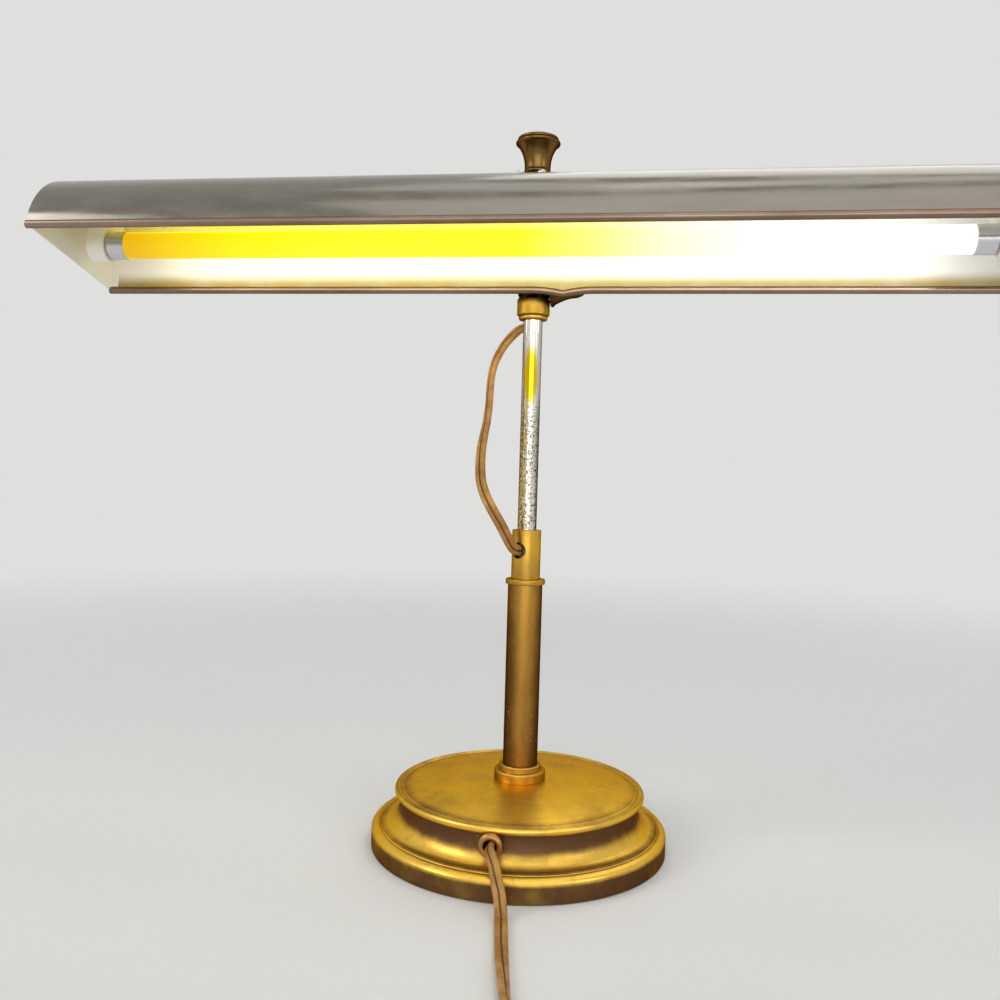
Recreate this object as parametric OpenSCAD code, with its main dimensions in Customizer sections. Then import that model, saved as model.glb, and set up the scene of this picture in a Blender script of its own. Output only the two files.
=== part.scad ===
// Desk lamp with a half-round trough shade on a telescoping brass column.
// Millimetres. The origin is the centre of the base's underside and +Z is up.
// +X runs along the shade, and -Y faces the person who sits at the lamp.

/* [Base] */
// Diameter of the base across its rim band
base_d = 190; // [180:1:230]
// Height of the base at the foot collar
base_h = 42; // [40:0.5:50]
// Height of the top edge of the rim band
band_top = 10.8; // [8:0.1:13]
// Width of the rounded shoulder above the band
shoulder_w = 5; // [3:0.1:7]
// Height of the rounded shoulder above the band
shoulder_h = 3.7; // [2.5:0.1:5]
// Width of the hollow cove between the shoulder and the waist
cove_w = 11.5; // [8:0.1:14]
// Depth of the waist, where the cove meets the top bead, below the base's top
waist_drop = 9.1; // [8.5:0.1:11]
// Section radius of the bead around the top
bead_r = 2.6; // [2:0.1:3]
// Rise of the domed top from its edge to the collar
dome_rise = 4.8; // [3:0.1:6]
// Thickness of the base shell
shell_wall = 1.6; // [1.2:0.1:2.2]
// Thickness of the felt pad
pad_t = 1.5; // [1:0.1:3]
// Thickness of the bottom plate
plate_t = 1.8; // [1:0.1:3]
// Thickness of the iron weight
weight_h = 10; // [6:0.5:12]
// Depth of the cord bushing's axis below the waist
bushing_drop = 5.4; // [4.5:0.1:7]
// Bore of the cord bushing
bushing_bore_d = 8; // [7.6:0.1:9]
// Outer diameter of the rounded bushing ring
bushing_d = 15; // [13:0.1:17]

/* [Ballast and starter] */
// Length of the ballast can
ballast_l = 66; // [50:1:72]
// Width of the ballast can
ballast_w = 38; // [30:1:40]
// Height of the ballast can
ballast_h = 16; // [12:0.5:17]
// Diameter of the starter can
starter_d = 16; // [14:0.5:17]
// Length of the starter can
starter_l = 32; // [25:1:36]

/* [Column] */
// Diameter of the lower ring of the foot collar
collar_d = 33.1; // [29:0.1:38]
// Height of the lower ring of the foot collar
collar_h = 6.2; // [5:0.1:9]
// Diameter of the upper ring of the foot collar
collar_top_d = 27.2; // [25.5:0.1:28.5]
// Height of the upper ring of the foot collar
collar_top_h = 3.6; // [2:0.1:6]
// Outer diameter of the column tube
column_d = 22.4; // [22:0.1:24]
// Wall of the column tube
column_wall = 1.5; // [1:0.1:1.7]
// Height of the column tube above the collar
column_h = 116.7; // [100:0.1:140]
// Diameter of the ring on top of the column
ring_d = 25.6; // [23:0.1:28]
// Height of the ring on top of the column
ring_h = 3.5; // [2:0.1:6]
// Outer diameter of the sleeve
sleeve_d = 18.7; // [18:0.1:19.2]
// Wall of the sleeve
sleeve_wall = 1.2; // [0.8:0.1:1.6]
// Height of the sleeve above its ring
sleeve_h = 31.7; // [26:0.1:40]
// Diameter of the cord hole in the sleeve
cord_hole_d = 10.5; // [9:0.1:11]
// Depth of the cord hole's centre below the sleeve's top
cord_hole_drop = 13.1; // [12:0.1:14]
// Outer diameter of the threaded nipple
nipple_d = 10; // [8:0.5:12]
// Bore of the threaded nipple
nipple_bore_d = 7; // [4:0.5:7]

/* [Stem] */
// Outer diameter of the sliding tube
tube_d = 12.3; // [11:0.1:12.6]
// Wall of the sliding tube
tube_wall = 0.8; // [0.6:0.1:1.2]
// Length of the sliding tube that shows below the stem ring
tube_out = 135.2; // [125:0.1:150]
// Travel of the sliding tube above its rest height
travel_up = 25; // [10:1:30]
// Height of the stop ring at the sliding tube's lower end
stop_h = 6; // [4:0.5:10]
// Diameter of the stem ring under the swivel cup
stem_ring_d = 18.5; // [16:0.1:20]
// Height of the stem ring under the swivel cup
stem_ring_h = 2.4; // [2:0.1:5]

/* [Head] */
// Diameter of the swivel cup at its foot
cup_d = 21; // [20:0.1:22]
// Diameter of the swivel cup's neck
neck_d = 17; // [16:0.1:17.6]
// Height of the swivel cup
cup_h = 27.5; // [27.2:0.1:32]
// Height of the tilt pin above the cup's underside
pin_rise = 18.3; // [18:0.1:19]
// Diameter of the tilt pin
pin_d = 5; // [4:0.1:6]
// Thickness of the tilt tongue
tongue_t = 6; // [4:0.1:6.5]
// Radius of the tilt tongue's round end
tongue_r = 6.5; // [5:0.1:6.8]
// Thickness of each friction washer
washer_t = 0.75; // [0.5:0.05:1]
// Diameter of the post behind the shade
post_d = 11; // [9:0.1:11.4]
// Wall of the post
post_wall = 1.5; // [1:0.1:2]
// Height of the post
post_h = 42.9; // [40:0.1:60]
// Diameter of the switch housing
housing_d = 19; // [18:0.1:22]
// Height of the switch housing
housing_h = 20; // [18:0.1:26]
// Wall of the switch housing
housing_wall = 1.2; // [0.8:0.1:1.5]

/* [Knobs] */
// Diameter of the clamp knob at its rim
clamp_d = 24.8; // [22:0.1:25.2]
// Diameter of the clamp knob's grip
clamp_grip_d = 13.6; // [12:0.1:16]
// Length of the clamp knob
clamp_l = 23.5; // [22:0.1:28]
// Diameter of the switch knob's rim
switch_rim_d = 28.7; // [25:0.1:32]
// Diameter of the switch knob's neck
switch_neck_d = 17.9; // [17:0.1:19]
// Height of the switch knob
switch_knob_h = 23.1; // [20:0.1:26]
// Diameter of the switch spindle
spindle_d = 4.6; // [3:0.1:5]

/* [Shade] */
// Inner radius of the trough
shade_r = 46; // [42:0.5:50]
// Thickness of the trough's sheet
shade_wall = 0.7; // [0.5:0.1:1]
// Tilt of the open side towards the front at rest
shade_tilt = 13; // [8:0.5:15]
// Distance from the trough's back wall to the tilt pin
pin_reach = 12.9; // [12.7:0.1:15]
// Height of the tilt pin above the plane of the lips
pin_over_lip = 7.9; // [7.5:0.1:9]
// Outer radius of the rolled lips
lip_r = 2.3; // [2:0.1:2.6]
// Radius of the wire inside the rolled lips
lip_wire_r = 1.5; // [1:0.1:1.5]
// Thickness of the saddle plate
saddle_t = 1.5; // [1:0.1:1.6]
// Width of the saddle plate along the shade
saddle_w = 20; // [19:0.5:21]
// Thickness of the end plates
end_t = 0.9; // [0.6:0.1:1.5]
// Width of the wire channel under the crown
channel_w = 34; // [28:0.5:40]
// Height of the wire channel's floor above the plane of the lips
channel_rise = 31; // [29:0.5:33]
// Sheet thickness of the wire channel
channel_wall = 0.8; // [0.6:0.1:1.2]

/* [Fluorescent tube] */
// Diameter of the glass
glass_d = 15.9; // [14:0.1:16.5]
// Wall of the glass
glass_wall = 0.7; // [0.5:0.1:1]
// Length of the tube between the faces of its caps
glass_l = 517; // [500:1:560]
// Length of each metal cap
cap_l = 11; // [8:0.5:14]
// Spacing of the two pins in a cap
pin_pitch = 4.75; // [4.5:0.05:6]
// Height of the tube's axis above the plane of the lips
glass_rise = 9; // [7:0.1:11]
// Thickness of each lampholder along the tube
holder_t = 11; // [9:0.5:12]

/* [Cord] */
// Width of the flat twin cord
cord_w = 7.2; // [6:0.1:7.2]
// Thickness of the flat twin cord
cord_t = 3.6; // [3:0.1:3.6]
// Innermost radius of the put-away coil
coil_r_in = 33.5; // [32:0.5:40]
// Turns of the coil's lower layer, which winds inwards
coil_turns_in = 3; // [2:1:3]
// Turns of the coil's upper layer, which winds outwards
coil_turns_out = 3.25; // [2.25:1:3.25]
// Air between neighbouring turns of the coil
coil_air = 0.6; // [0.5:0.05:1]

/* [Hidden] */
$fn = 96;

// Clearances: a sliding or seated round fit, a free gap between moving pieces, and a cutter's overrun
fit_gap = 0.05;
free_gap = 0.3;
over = 1;

// Base: heights and radii worked out from the driving sizes
base_r = base_d / 2;
rim_lift = 0.5;
crimp_w = 6.5;
groove = 0.6;
fillet_steps = 6;
cove_steps = 14;
dome_steps = 10;
cove_power = 2 / 2.4;
waist_z = base_h - waist_drop;
shoulder_top = band_top + shoulder_h;
shoulder_r = base_r - shoulder_w;
cove_foot_r = shoulder_r - 2 * groove - 0.8;
cove_foot_z = shoulder_top + 0.5;
waist_r = cove_foot_r - cove_w;
bead_from = -125;
bead_to = 120;
bead_axis_r = waist_r - bead_r * cos(bead_from);
bead_axis_z = waist_z - bead_r * sin(bead_from);
dome_edge_r = bead_axis_r + bead_r * cos(bead_to) - 2;
dome_flat_r = collar_d / 2 + 0.75;
dome_edge_z = base_h - dome_rise;
plate_z = pad_t;
plate_r = base_r - shell_wall - fit_gap;
pad_r = base_r - crimp_w - free_gap;
deck_z = plate_z + plate_t;
roof_z = base_h - shell_wall;
nipple_r = nipple_d / 2;
nipple_hole_r = nipple_r + fit_gap;
weight_hub_r = collar_d / 2 - 1;
weight_hub_h = 6.4;
weight_cord_room = 9;
weight_r = waist_r - shell_wall - weight_cord_room;
weight_z = roof_z - weight_hub_h - weight_h;
washer_d = 24;
base_washer_t = 1.6;
base_nut_h = 7;
base_nut_flats = 17;
base_nut_z = weight_z - base_washer_t - base_nut_h;
nipple_z = base_nut_z - 2;

// Ballast at the back of the base and starter at the front, both on the bottom plate
ballast_y = base_nut_flats / 2 + 12;
ballast_flange = 8;
ballast_flange_t = 1.5;
screw_r = 2;
screw_head_r = 3.4;
screw_head_h = 2;
starter_y = -38;
starter_socket_w = 20;
starter_socket_t = 10;
starter_axis_z = deck_z + starter_d / 2 + free_gap;

// Cord bushing through the front of the cove, turned a little from the front
bushing_z = waist_z - bushing_drop;
bushing_turn = -4;
bushing_ring_r = 2.3;
bushing_shank_d = bushing_bore_d + 2.6;
bushing_stand = 5.9;
bushing_ring_y = waist_r + bushing_stand;
bushing_shank_in = 9;
bushing_nut_t = 3;
bushing_nut_d = 16;
bushing_nut_y = waist_r - shell_wall - 5;

// Column: stacked heights from the base upwards
collar_floor = 3;
column_z = base_h + collar_floor;
collar_top_z = base_h + collar_h + collar_top_h;
column_top = collar_top_z + column_h;
column_bore_r = column_d / 2 - column_wall;
column_plug_h = 9;
nipple_top = column_z + column_plug_h - 1;
sleeve_z = column_top + ring_h;
sleeve_top = sleeve_z + sleeve_h;
sleeve_bore_r = sleeve_d / 2 - sleeve_wall;
sleeve_spigot_h = 6.5;
sleeve_lip = 1;
bush_h = 4.2;
bush_z = sleeve_top - sleeve_lip - bush_h;
cord_hole_z = sleeve_top - cord_hole_drop;
cord_hole_turn = 241;

// Stem: the sliding tube's lower end hangs below the sleeve's spigot by its upward travel
tube_r = tube_d / 2;
tube_bore_r = tube_r - tube_wall;
stop_margin = 1;
stop_z = column_top - sleeve_spigot_h - travel_up - stop_margin - stop_h;
stem_ring_z = sleeve_top + tube_out;
cup_z = stem_ring_z + stem_ring_h + free_gap;
tube_in_cup = 8.3;
tube_top = cup_z + tube_in_cup;
tube_hole_d = 7.8;
tube_hole_drop = 4.1;
tube_hole_z = stem_ring_z - tube_hole_drop;
tube_hole_turn = 146;
swivel_groove_z = cup_z + 4;
swivel_groove_h = 2.6;
swivel_groove_depth = 0.5;

// Head: swivel cup with its tilt slot, post and switch
cup_r = cup_d / 2;
neck_r = neck_d / 2;
cup_top = cup_z + cup_h;
cup_foot_h = 10;
cup_taper_h = 3;
cup_edge = 0.6;
cup_shoulder = 1.5;
pin_z = cup_z + pin_rise;
pin_r = pin_d / 2;
slot_w = tongue_t + 2 * washer_t + 4 * fit_gap;
slot_back = tongue_r + 1;
slot_down = tongue_r + 1.4;
slot_front = 1.5;
wire_hole_r = 3.2;
knob_boss_r = 7;
knob_boss_x = cup_r + 0.2;
head_boss_r = 6;
head_boss_x = cup_r - 0.7;
pin_head_r = 4.5;
pin_head_h = 2.4;
pin_in_knob = 13;
friction_washer_r = 6.2;
swivel_screw_r = 1.5;
post_r = post_d / 2;
post_bore_r = post_r - post_wall;
post_top = cup_top + post_h;
housing_r = housing_d / 2;
housing_top = post_top + housing_h;
housing_flare = 4.5;
housing_foot = 0.5;
switch_r = 6.8;
switch_h = 11;
switch_bush_r = 4.1;
switch_bush_up = 4;
switch_z = housing_top - housing_wall - switch_h;
switch_nut_r = 6.6;
switch_nut_h = 2.2;
knob_lift = 0.4;
knob_z = housing_top + knob_lift;
nut_room = 0.4;
spindle_r = spindle_d / 2;
spindle_in_switch = 6;
spindle_in_knob = 14;
clamp_r = clamp_d / 2;
clamp_x = knob_boss_x + free_gap;
clamp_bead = 1.2;
clamp_grip_share = 0.6;
clamp_power = 1.5;
flare_steps = 10;

// Shade: local frame with y across the trough, towards the back, and z up from the lips
shade_out_r = shade_r + shade_wall;
pin_across = shade_out_r + pin_reach;
lip_across = shade_r - 0.4;
lip_bore_r = lip_wire_r + fit_gap;
saddle_r = shade_out_r + fit_gap;
saddle_out_r = saddle_r + saddle_t;
saddle_from = 4;
saddle_to = 40;
rivet_r = 1.5;
rivet_head_r = 2.8;
rivet_head_in = 0.5;
rivet_head_out = 1.1;
rivet_edge = 3.5;
rivet_angles = [29, 37];
rivet_seat = 0.12;
tongue_half = 5.5;
end_r = shade_r - fit_gap;
end_flange = 5;
end_flange_t = 0.8;
tube_end_room = 26.5;
shade_l = glass_l + 2 * tube_end_room;
channel_end_room = 12;
channel_l = shade_l - 2 * channel_end_room;
channel_foot = sqrt(pow(shade_r - 2 * fit_gap, 2) - pow(channel_w / 2, 2));
glass_r = glass_d / 2;
cap_wall = 0.35;
cap_r = glass_r + fit_gap + cap_wall;
cap_face = 1;
pin_len = 7;
contact_r = 1.15;
contact_gap = 0.15;
holder_room = 1;
holder_x = glass_l / 2 + holder_room;
holder_r = 10;

// Cord: a flat twin section with its width first, and a six-sided one for the coil
cord_flat = cord_w * 0.34;
cord_side = cord_t * 0.2;
cord_section = [
  [cord_w / 2, -cord_side], [cord_w / 2, cord_side], [cord_flat, cord_t / 2], [-cord_flat, cord_t / 2],
  [-cord_w / 2, cord_side], [-cord_w / 2, -cord_side], [-cord_flat, -cord_t / 2], [cord_flat, -cord_t / 2]
];
coil_flat = cord_w * 0.3;
coil_section = [
  [cord_w / 2, 0], [coil_flat, cord_t / 2], [-coil_flat, cord_t / 2],
  [-cord_w / 2, 0], [-coil_flat, -cord_t / 2], [coil_flat, -cord_t / 2]
];

// The coil stands on edge past the front edge of what is seen: its centre, first angle and height
coil_centre = [108, -261];
coil_from = 200;
coil_z = 5;
coil_rings = 24;
coil_pitch = cord_t + coil_air;
coil_layer = cord_w + coil_air;
coil_r_out = coil_r_in + coil_pitch * coil_turns_in;
coil_last = coil_rings * (coil_turns_in + coil_turns_out);
coil_climb = 0.5;
coil_tail_l = 20;
coil_end_angle = coil_from + 360 * coil_last / coil_rings;
tie_t = 0.8;
tie_w = 9;
tie_gap = 0.4;
tie_angle = 60;

// Plug on the coil's free end, standing on its narrow side
plug_neck_l = 20;
plug_neck_h = 9;
plug_neck_w = 6;
plug_h = 25;
plug_w = 15;
plug_l = 26;
plug_corner = 3;
blade_pitch = 12.7;
blade_w = 6.3;
blade_t = 1.5;
blade_out = 17;
blade_in = 6;

// Route of the mains cord, with the turn of its width in degrees: it hangs from the bushing, given by
// x, y and a share of the drop, and then lies on the table, given by x, y and z
cord_lie = 2;
hang_route = [
  [-4.9, -69.8, 1, -55], [-5.6, -79.8, 1, -55], [-5.7, -86, 1, -55], [-5, -90.4, 0.99, -55],
  [-3.2, -95.2, 0.955, -54], [-1, -99.7, 0.855, -52], [0.8, -103, 0.69, -48], [2.2, -104.8, 0.5, -38],
  [3.7, -106.5, 0.3, -24], [4.8, -109.8, 0.137, -10], [5.8, -114.4, 0.03, 0]
];
table_route = [
  [6.7, -119.6, 2, 0], [7.6, -125.6, 2, 0], [8.7, -132.7, 2, 0], [9.9, -140.8, 2, 0], [11.4, -150, 2.2, 8],
  [12.9, -159, 2.5, 18], [14.4, -167.6, 2.8, 28], [16, -176.2, 3.1, 38], [18.8, -191.3, 3.5, 50],
  [22.8, -205.5, 3.8, 60], [29.2, -219.5, 4.2, 70], [38.3, -232.5, 4.6, 80], [48.2, -244.5, 4.9, 87],
  [55, -253.2, 5, 90], [59.5, -262.5, 5, 90]
];

// Route of the loop cord from the sleeve's hole to the sliding tube's hole, in a frame turned by
// loop_turn about the column: across, forwards, up, and the turn of its width in degrees
loop_turn = 6.8;
loop_route = [
  [-3.9, 5.4, 190.5, 10], [-5.5, 7.6, 190.7, 10], [-8.2, 11, 192.2, 12], [-11.2, 13, 197, 14],
  [-16.7, 13, 207, 16], [-22.2, 12, 216, 18], [-27.5, 10.5, 226, 20], [-30.3, 9, 235, 25],
  [-31, 8, 245, 32], [-30.6, 7, 255, 42], [-29.3, 6, 264, 52], [-27.6, 5, 274, 60], [-26.7, 4, 284, 64],
  [-26.4, 2.6, 293, 66], [-25.7, 0.6, 303, 64], [-23.4, -2.5, 313, 58], [-18.6, -6.5, 323, 52],
  [-12.9, -8.9, 330.5, 47], [-8.2, -7, 334.1, 45], [-3.4, -3, 334.8, 45]
];

function unit(v) = v / norm(v);

// Points of an arc in a section, from one angle to another
function arc(at, r, from, to, steps) =
  [for (i = [0 : steps]) let (a = from + (to - from) * i / steps) at + r * [cos(a), sin(a)]];

// The cove's outline from the shoulder up to the waist, moved inwards by a wall
function cove_point(t) = [
  cove_foot_r - cove_w * pow(sin(t), cove_power),
  waist_z - (waist_z - cove_foot_z) * pow(cos(t), cove_power)
];
function cove_normal(t) =
  let (d = unit(cove_point(min(t + over, 90)) - cove_point(max(t - over, 0)))) [-d[1], d[0]];
function cove_outline(wall) =
  [for (i = [0 : cove_steps]) let (t = 90 * i / cove_steps) cove_point(t) - wall * [1, -1] *
    [[abs(cove_normal(t)[0]), 0], [0, -abs(cove_normal(t)[1])]]];

// The domed top's outline from its edge to the flat under the collar, lowered by a wall
function dome_outline(wall) = [
  for (i = [0 : dome_steps]) let (s = i / dome_steps)
    [dome_edge_r + (dome_flat_r - dome_edge_r) * s, dome_edge_z + dome_rise * (1 - pow(1 - s, 2)) - wall]
];

function reversed(list) = [for (i = [len(list) - 1 : -1 : 0]) list[i]];

// Direction along a path at one of its points
function heading(path, i) = unit(path[min(i + 1, len(path) - 1)] - path[max(i - 1, 0)]);

// One ring of a swept section: its width lies across the path and square to the facing direction
function ring_at(p, along, facing, turn, section) =
  let (s = unit(cross(along, facing)), n = cross(s, along))
  let (wide = s * cos(turn) + n * sin(turn), thick = n * cos(turn) - s * sin(turn))
  [for (q = section) p + wide * q[0] + thick * q[1]];

// A closed tube of one section along a path, with a turn of the section at each point
module swept(path, turns, section, facing) {
  n = len(section);
  last = len(path) - 1;
  points = [for (i = [0 : last]) each ring_at(path[i], heading(path, i), facing, turns[i], section)];
  sides = [
    for (i = [0 : last - 1], j = [0 : n - 1])
      let (a = i * n + j, b = i * n + (j + 1) % n) each [[a, b, b + n], [a, b + n, a + n]]
  ];
  first_cap = [for (j = [1 : n - 2]) [0, j + 1, j]];
  last_cap = [for (j = [1 : n - 2]) [last * n, last * n + j, last * n + j + 1]];
  polyhedron(points, concat(sides, first_cap, last_cap), convexity = 10);
}

// The coil winds inwards on its lower layer, climbs in the half turn about the reversal, and winds outwards
function coil_radius(i) =
  let (t = i / coil_rings) coil_r_in + coil_pitch * abs(t - coil_turns_in);
function coil_height(i) =
  let (s = min(1, max(0, (i / coil_rings - coil_turns_in) / coil_climb + 0.5)))
  coil_z + coil_layer * s * s * (3 - 2 * s);
function coil_point(i) =
  let (a = coil_from + 360 * i / coil_rings)
  [coil_centre[0] + coil_radius(i) * cos(a), coil_centre[1] + coil_radius(i) * sin(a), coil_height(i)];
coil_lead = coil_point(0) - cord_w * [-sin(coil_from), cos(coil_from), 0];
coil_out = [-sin(coil_end_angle), cos(coil_end_angle), 0];
coil_tail = coil_point(coil_last) + coil_tail_l * coil_out;
coil_path = concat([coil_lead], [for (i = [0 : coil_last]) coil_point(i)], [coil_tail]);

// Least gap between turns, measured between the sections that stand at the same angle
function coil_outline(i) = [for (q = coil_section) [coil_radius(i) - q[1], coil_height(i) + q[0]]];
function edge_gap(p, a, b) =
  let (d = b - a, t = min(1, max(0, (p - a) * d / (d * d)))) norm(p - a - t * d);
function outline_gap(p, q) =
  min([for (v = p, j = [0 : len(q) - 1]) edge_gap(v, q[j], q[(j + 1) % len(q)])]);
coil_gap = min([
  for (i = [0 : coil_last - coil_rings], k = [i + coil_rings : coil_rings : coil_last])
    min(outline_gap(coil_outline(i), coil_outline(k)), outline_gap(coil_outline(k), coil_outline(i)))
]);
echo("least gap between the coil's turns in mm", coil_gap);

mains_path = concat(
  [for (p = hang_route) [p[0], p[1], cord_lie + p[2] * (bushing_z - cord_lie)]],
  [for (p = table_route) [p[0], p[1], p[2]]], [coil_lead]
);
mains_turns = concat([for (p = hang_route) p[3]], [for (p = table_route) p[3]], [90]);
function from_loop(p) =
  [p[0] * cos(loop_turn) + p[1] * sin(loop_turn), p[0] * sin(loop_turn) - p[1] * cos(loop_turn), p[2]];
loop_path = [for (p = loop_route) from_loop(p)];
loop_facing = [sin(loop_turn), -cos(loop_turn), 0];
function path_length(path, i = 0) =
  i < len(path) - 1 ? norm(path[i + 1] - path[i]) + path_length(path, i + 1) : 0;
echo("mains cord and coil length in mm", path_length(mains_path) + path_length(coil_path));
echo("loop cord length in mm", path_length(loop_path));

// A ring or tube about Z
module ring(outer, inner, z, h) {
  translate([0, 0, z]) difference() {
    cylinder(r = outer, h = h);
    translate([0, 0, -over]) cylinder(r = inner, h = h + 2 * over);
  }
}

// Turns a shape that stands along Z to lie along X, or to lie on the bushing's axis and point outwards
module along_x(x) { translate([x, 0, 0]) rotate([0, 90, 0]) children(); }
module to_bushing(y) {
  rotate([0, 0, bushing_turn]) translate([0, -y, bushing_z]) rotate([90, 0, 0]) children();
}

// Places a shape given in the shade's own frame
module in_shade() {
  translate([0, 0, pin_z]) rotate([-shade_tilt, 0, 0]) translate([0, -pin_across, -pin_over_lip]) children();
}

// A full-length round bar in the shade's frame
module shade_bar(r, l) { along_x(-l / 2) cylinder(r = r, h = l); }

module base_shell() {
  outline = concat(
    [[base_r - crimp_w, rim_lift], [base_r, rim_lift]],
    [for (p = arc([0, 0], 1, 0, 90, fillet_steps))
      [base_r - shoulder_w * (1 - p[0]), band_top + shoulder_h * p[1]]],
    [[shoulder_r - groove, shoulder_top - groove], [shoulder_r - 2 * groove, shoulder_top]],
    cove_outline(0),
    arc([bead_axis_r, bead_axis_z], bead_r, bead_from, bead_to, 3 * fillet_steps),
    [[dome_edge_r + 2 * groove, dome_edge_z - groove]],
    dome_outline(0),
    [[nipple_hole_r, base_h], [nipple_hole_r, roof_z]],
    reversed(dome_outline(shell_wall)),
    [[waist_r - shell_wall, dome_edge_z - shell_wall]],
    reversed(cove_outline(shell_wall)),
    [[shoulder_r, cove_foot_z - shell_wall], [base_r - shell_wall, band_top - shell_wall],
     [base_r - shell_wall, plate_z], [base_r - crimp_w, plate_z]]
  );
  color("#8f6f2e") difference() {
    rotate_extrude() polygon(outline);
    to_bushing(0) cylinder(d = bushing_shank_d + 2 * fit_gap, h = base_r);
  }
}

module base_weight() {
  color("#3b3b3d") {
    ring(weight_r, nipple_hole_r, weight_z, weight_h);
    ring(weight_hub_r, nipple_hole_r, weight_z + weight_h, weight_hub_h);
  }
}

module base_plate() {
  color("#70706e") translate([0, 0, plate_z]) cylinder(r = plate_r, h = plate_t);
}

module base_pad() {
  color("#2f3d2c") cylinder(r = pad_r, h = pad_t);
}

module ballast() {
  color("#5c5f63") difference() {
    union() {
      translate([-ballast_l / 2, ballast_y, deck_z]) cube([ballast_l, ballast_w, ballast_h]);
      translate([-ballast_l / 2 - ballast_flange, ballast_y + ballast_w / 4, deck_z])
        cube([ballast_l + 2 * ballast_flange, ballast_w / 2, ballast_flange_t]);
    }
    for (side = [-1, 1])
      translate([side * (ballast_l + ballast_flange) / 2, ballast_y + ballast_w / 2, 0])
        cylinder(r = screw_r + fit_gap, h = base_h);
  }
}

module ballast_screws() {
  color("#b9b9b5") for (side = [-1, 1])
    translate([side * (ballast_l + ballast_flange) / 2, ballast_y + ballast_w / 2, deck_z]) {
      cylinder(r = screw_r, h = ballast_flange_t);
      translate([0, 0, ballast_flange_t]) cylinder(r = screw_head_r, h = screw_head_h);
    }
}

module starter() {
  color("#c9cbcc") translate([-starter_l / 2, starter_y, starter_axis_z]) rotate([0, 90, 0]) {
    cylinder(d = starter_d, h = starter_l);
    for (side = [-1, 1])
      translate([0, side * starter_d / 4, starter_l]) cylinder(r = screw_r, h = starter_socket_t / 2);
  }
}

module starter_socket() {
  color("#e8e4d8") difference() {
    translate([starter_l / 2, starter_y - starter_socket_w / 2, deck_z])
      cube([starter_socket_t, starter_socket_w, starter_d]);
    translate([starter_l / 2 - over, starter_y, starter_axis_z]) rotate([0, 90, 0])
      for (side = [-1, 1])
        translate([0, side * starter_d / 4, 0])
          cylinder(r = screw_r + fit_gap, h = starter_socket_t / 2 + 2 * over);
  }
}

module nipple() {
  color("#a08040")
    ring(nipple_r, nipple_bore_d / 2, nipple_z, nipple_top - nipple_z);
}

module base_washer() {
  color("#b9b9b5") ring(washer_d / 2, nipple_hole_r, weight_z - base_washer_t, base_washer_t);
}

module base_nut() {
  color("#b9b9b5") translate([0, 0, base_nut_z]) difference() {
    cylinder(d = base_nut_flats / cos(30), h = base_nut_h, $fn = 6);
    translate([0, 0, -over]) cylinder(r = nipple_hole_r, h = base_nut_h + 2 * over);
  }
}

module column_plug() {
  color("#8f6f2e") ring(column_bore_r - fit_gap, nipple_hole_r, column_z, column_plug_h);
}

module foot_collar() {
  color("#7f6128") difference() {
    union() {
      translate([0, 0, base_h]) cylinder(d = collar_d, h = collar_h);
      translate([0, 0, base_h + collar_h]) cylinder(d = collar_top_d, h = collar_top_h);
    }
    translate([0, 0, column_z]) cylinder(r = column_d / 2 + fit_gap, h = collar_top_z);
    translate([0, 0, base_h - over]) cylinder(r = nipple_hole_r, h = collar_top_z);
  }
}

module column_tube() {
  color("#6f5222") ring(column_d / 2, column_bore_r, column_z, column_top - column_z);
}

module column_ring() {
  color("#7f6128") ring(ring_d / 2, sleeve_d / 2 + fit_gap, column_top, ring_h);
}

module sleeve() {
  color("#7f6128") difference() {
    union() {
      translate([0, 0, column_top - sleeve_spigot_h])
        cylinder(r = column_bore_r - fit_gap, h = sleeve_spigot_h);
      translate([0, 0, column_top]) cylinder(d = sleeve_d, h = sleeve_top - column_top);
    }
    translate([0, 0, column_top - sleeve_spigot_h - over])
      cylinder(r = sleeve_bore_r, h = bush_z + bush_h - column_top + sleeve_spigot_h + over);
    cylinder(r = tube_r + free_gap, h = sleeve_top + over);
    translate([0, 0, cord_hole_z]) rotate([0, 90, cord_hole_turn]) cylinder(d = cord_hole_d, h = sleeve_d);
  }
}

module friction_bush() {
  color("#d8cdb0") ring(sleeve_bore_r - fit_gap, tube_r + fit_gap, bush_z, bush_h);
}

module cord_bushing() {
  color("#7a5a25") difference() {
    union() {
      to_bushing(bushing_ring_y)
        rotate_extrude() translate([bushing_d / 2 - bushing_ring_r, 0]) circle(r = bushing_ring_r, $fn = 32);
      to_bushing(waist_r - bushing_shank_in)
        cylinder(d = bushing_shank_d, h = bushing_shank_in + bushing_stand + bushing_ring_r / 2);
    }
    to_bushing(0) cylinder(d = bushing_bore_d, h = base_r);
  }
}

module bushing_nut() {
  color("#b9b9b5") to_bushing(bushing_nut_y - bushing_nut_t / 2)
    ring(bushing_nut_d / 2, bushing_shank_d / 2 + fit_gap, 0, bushing_nut_t);
}

module mains_cord() {
  color("#9c7434") swept(mains_path, mains_turns, cord_section, [0, 0, 1]);
}

module mains_coil() {
  color("#9c7434") swept(coil_path, [for (p = coil_path) 90], coil_section, [0, 0, 1]);
}

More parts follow.
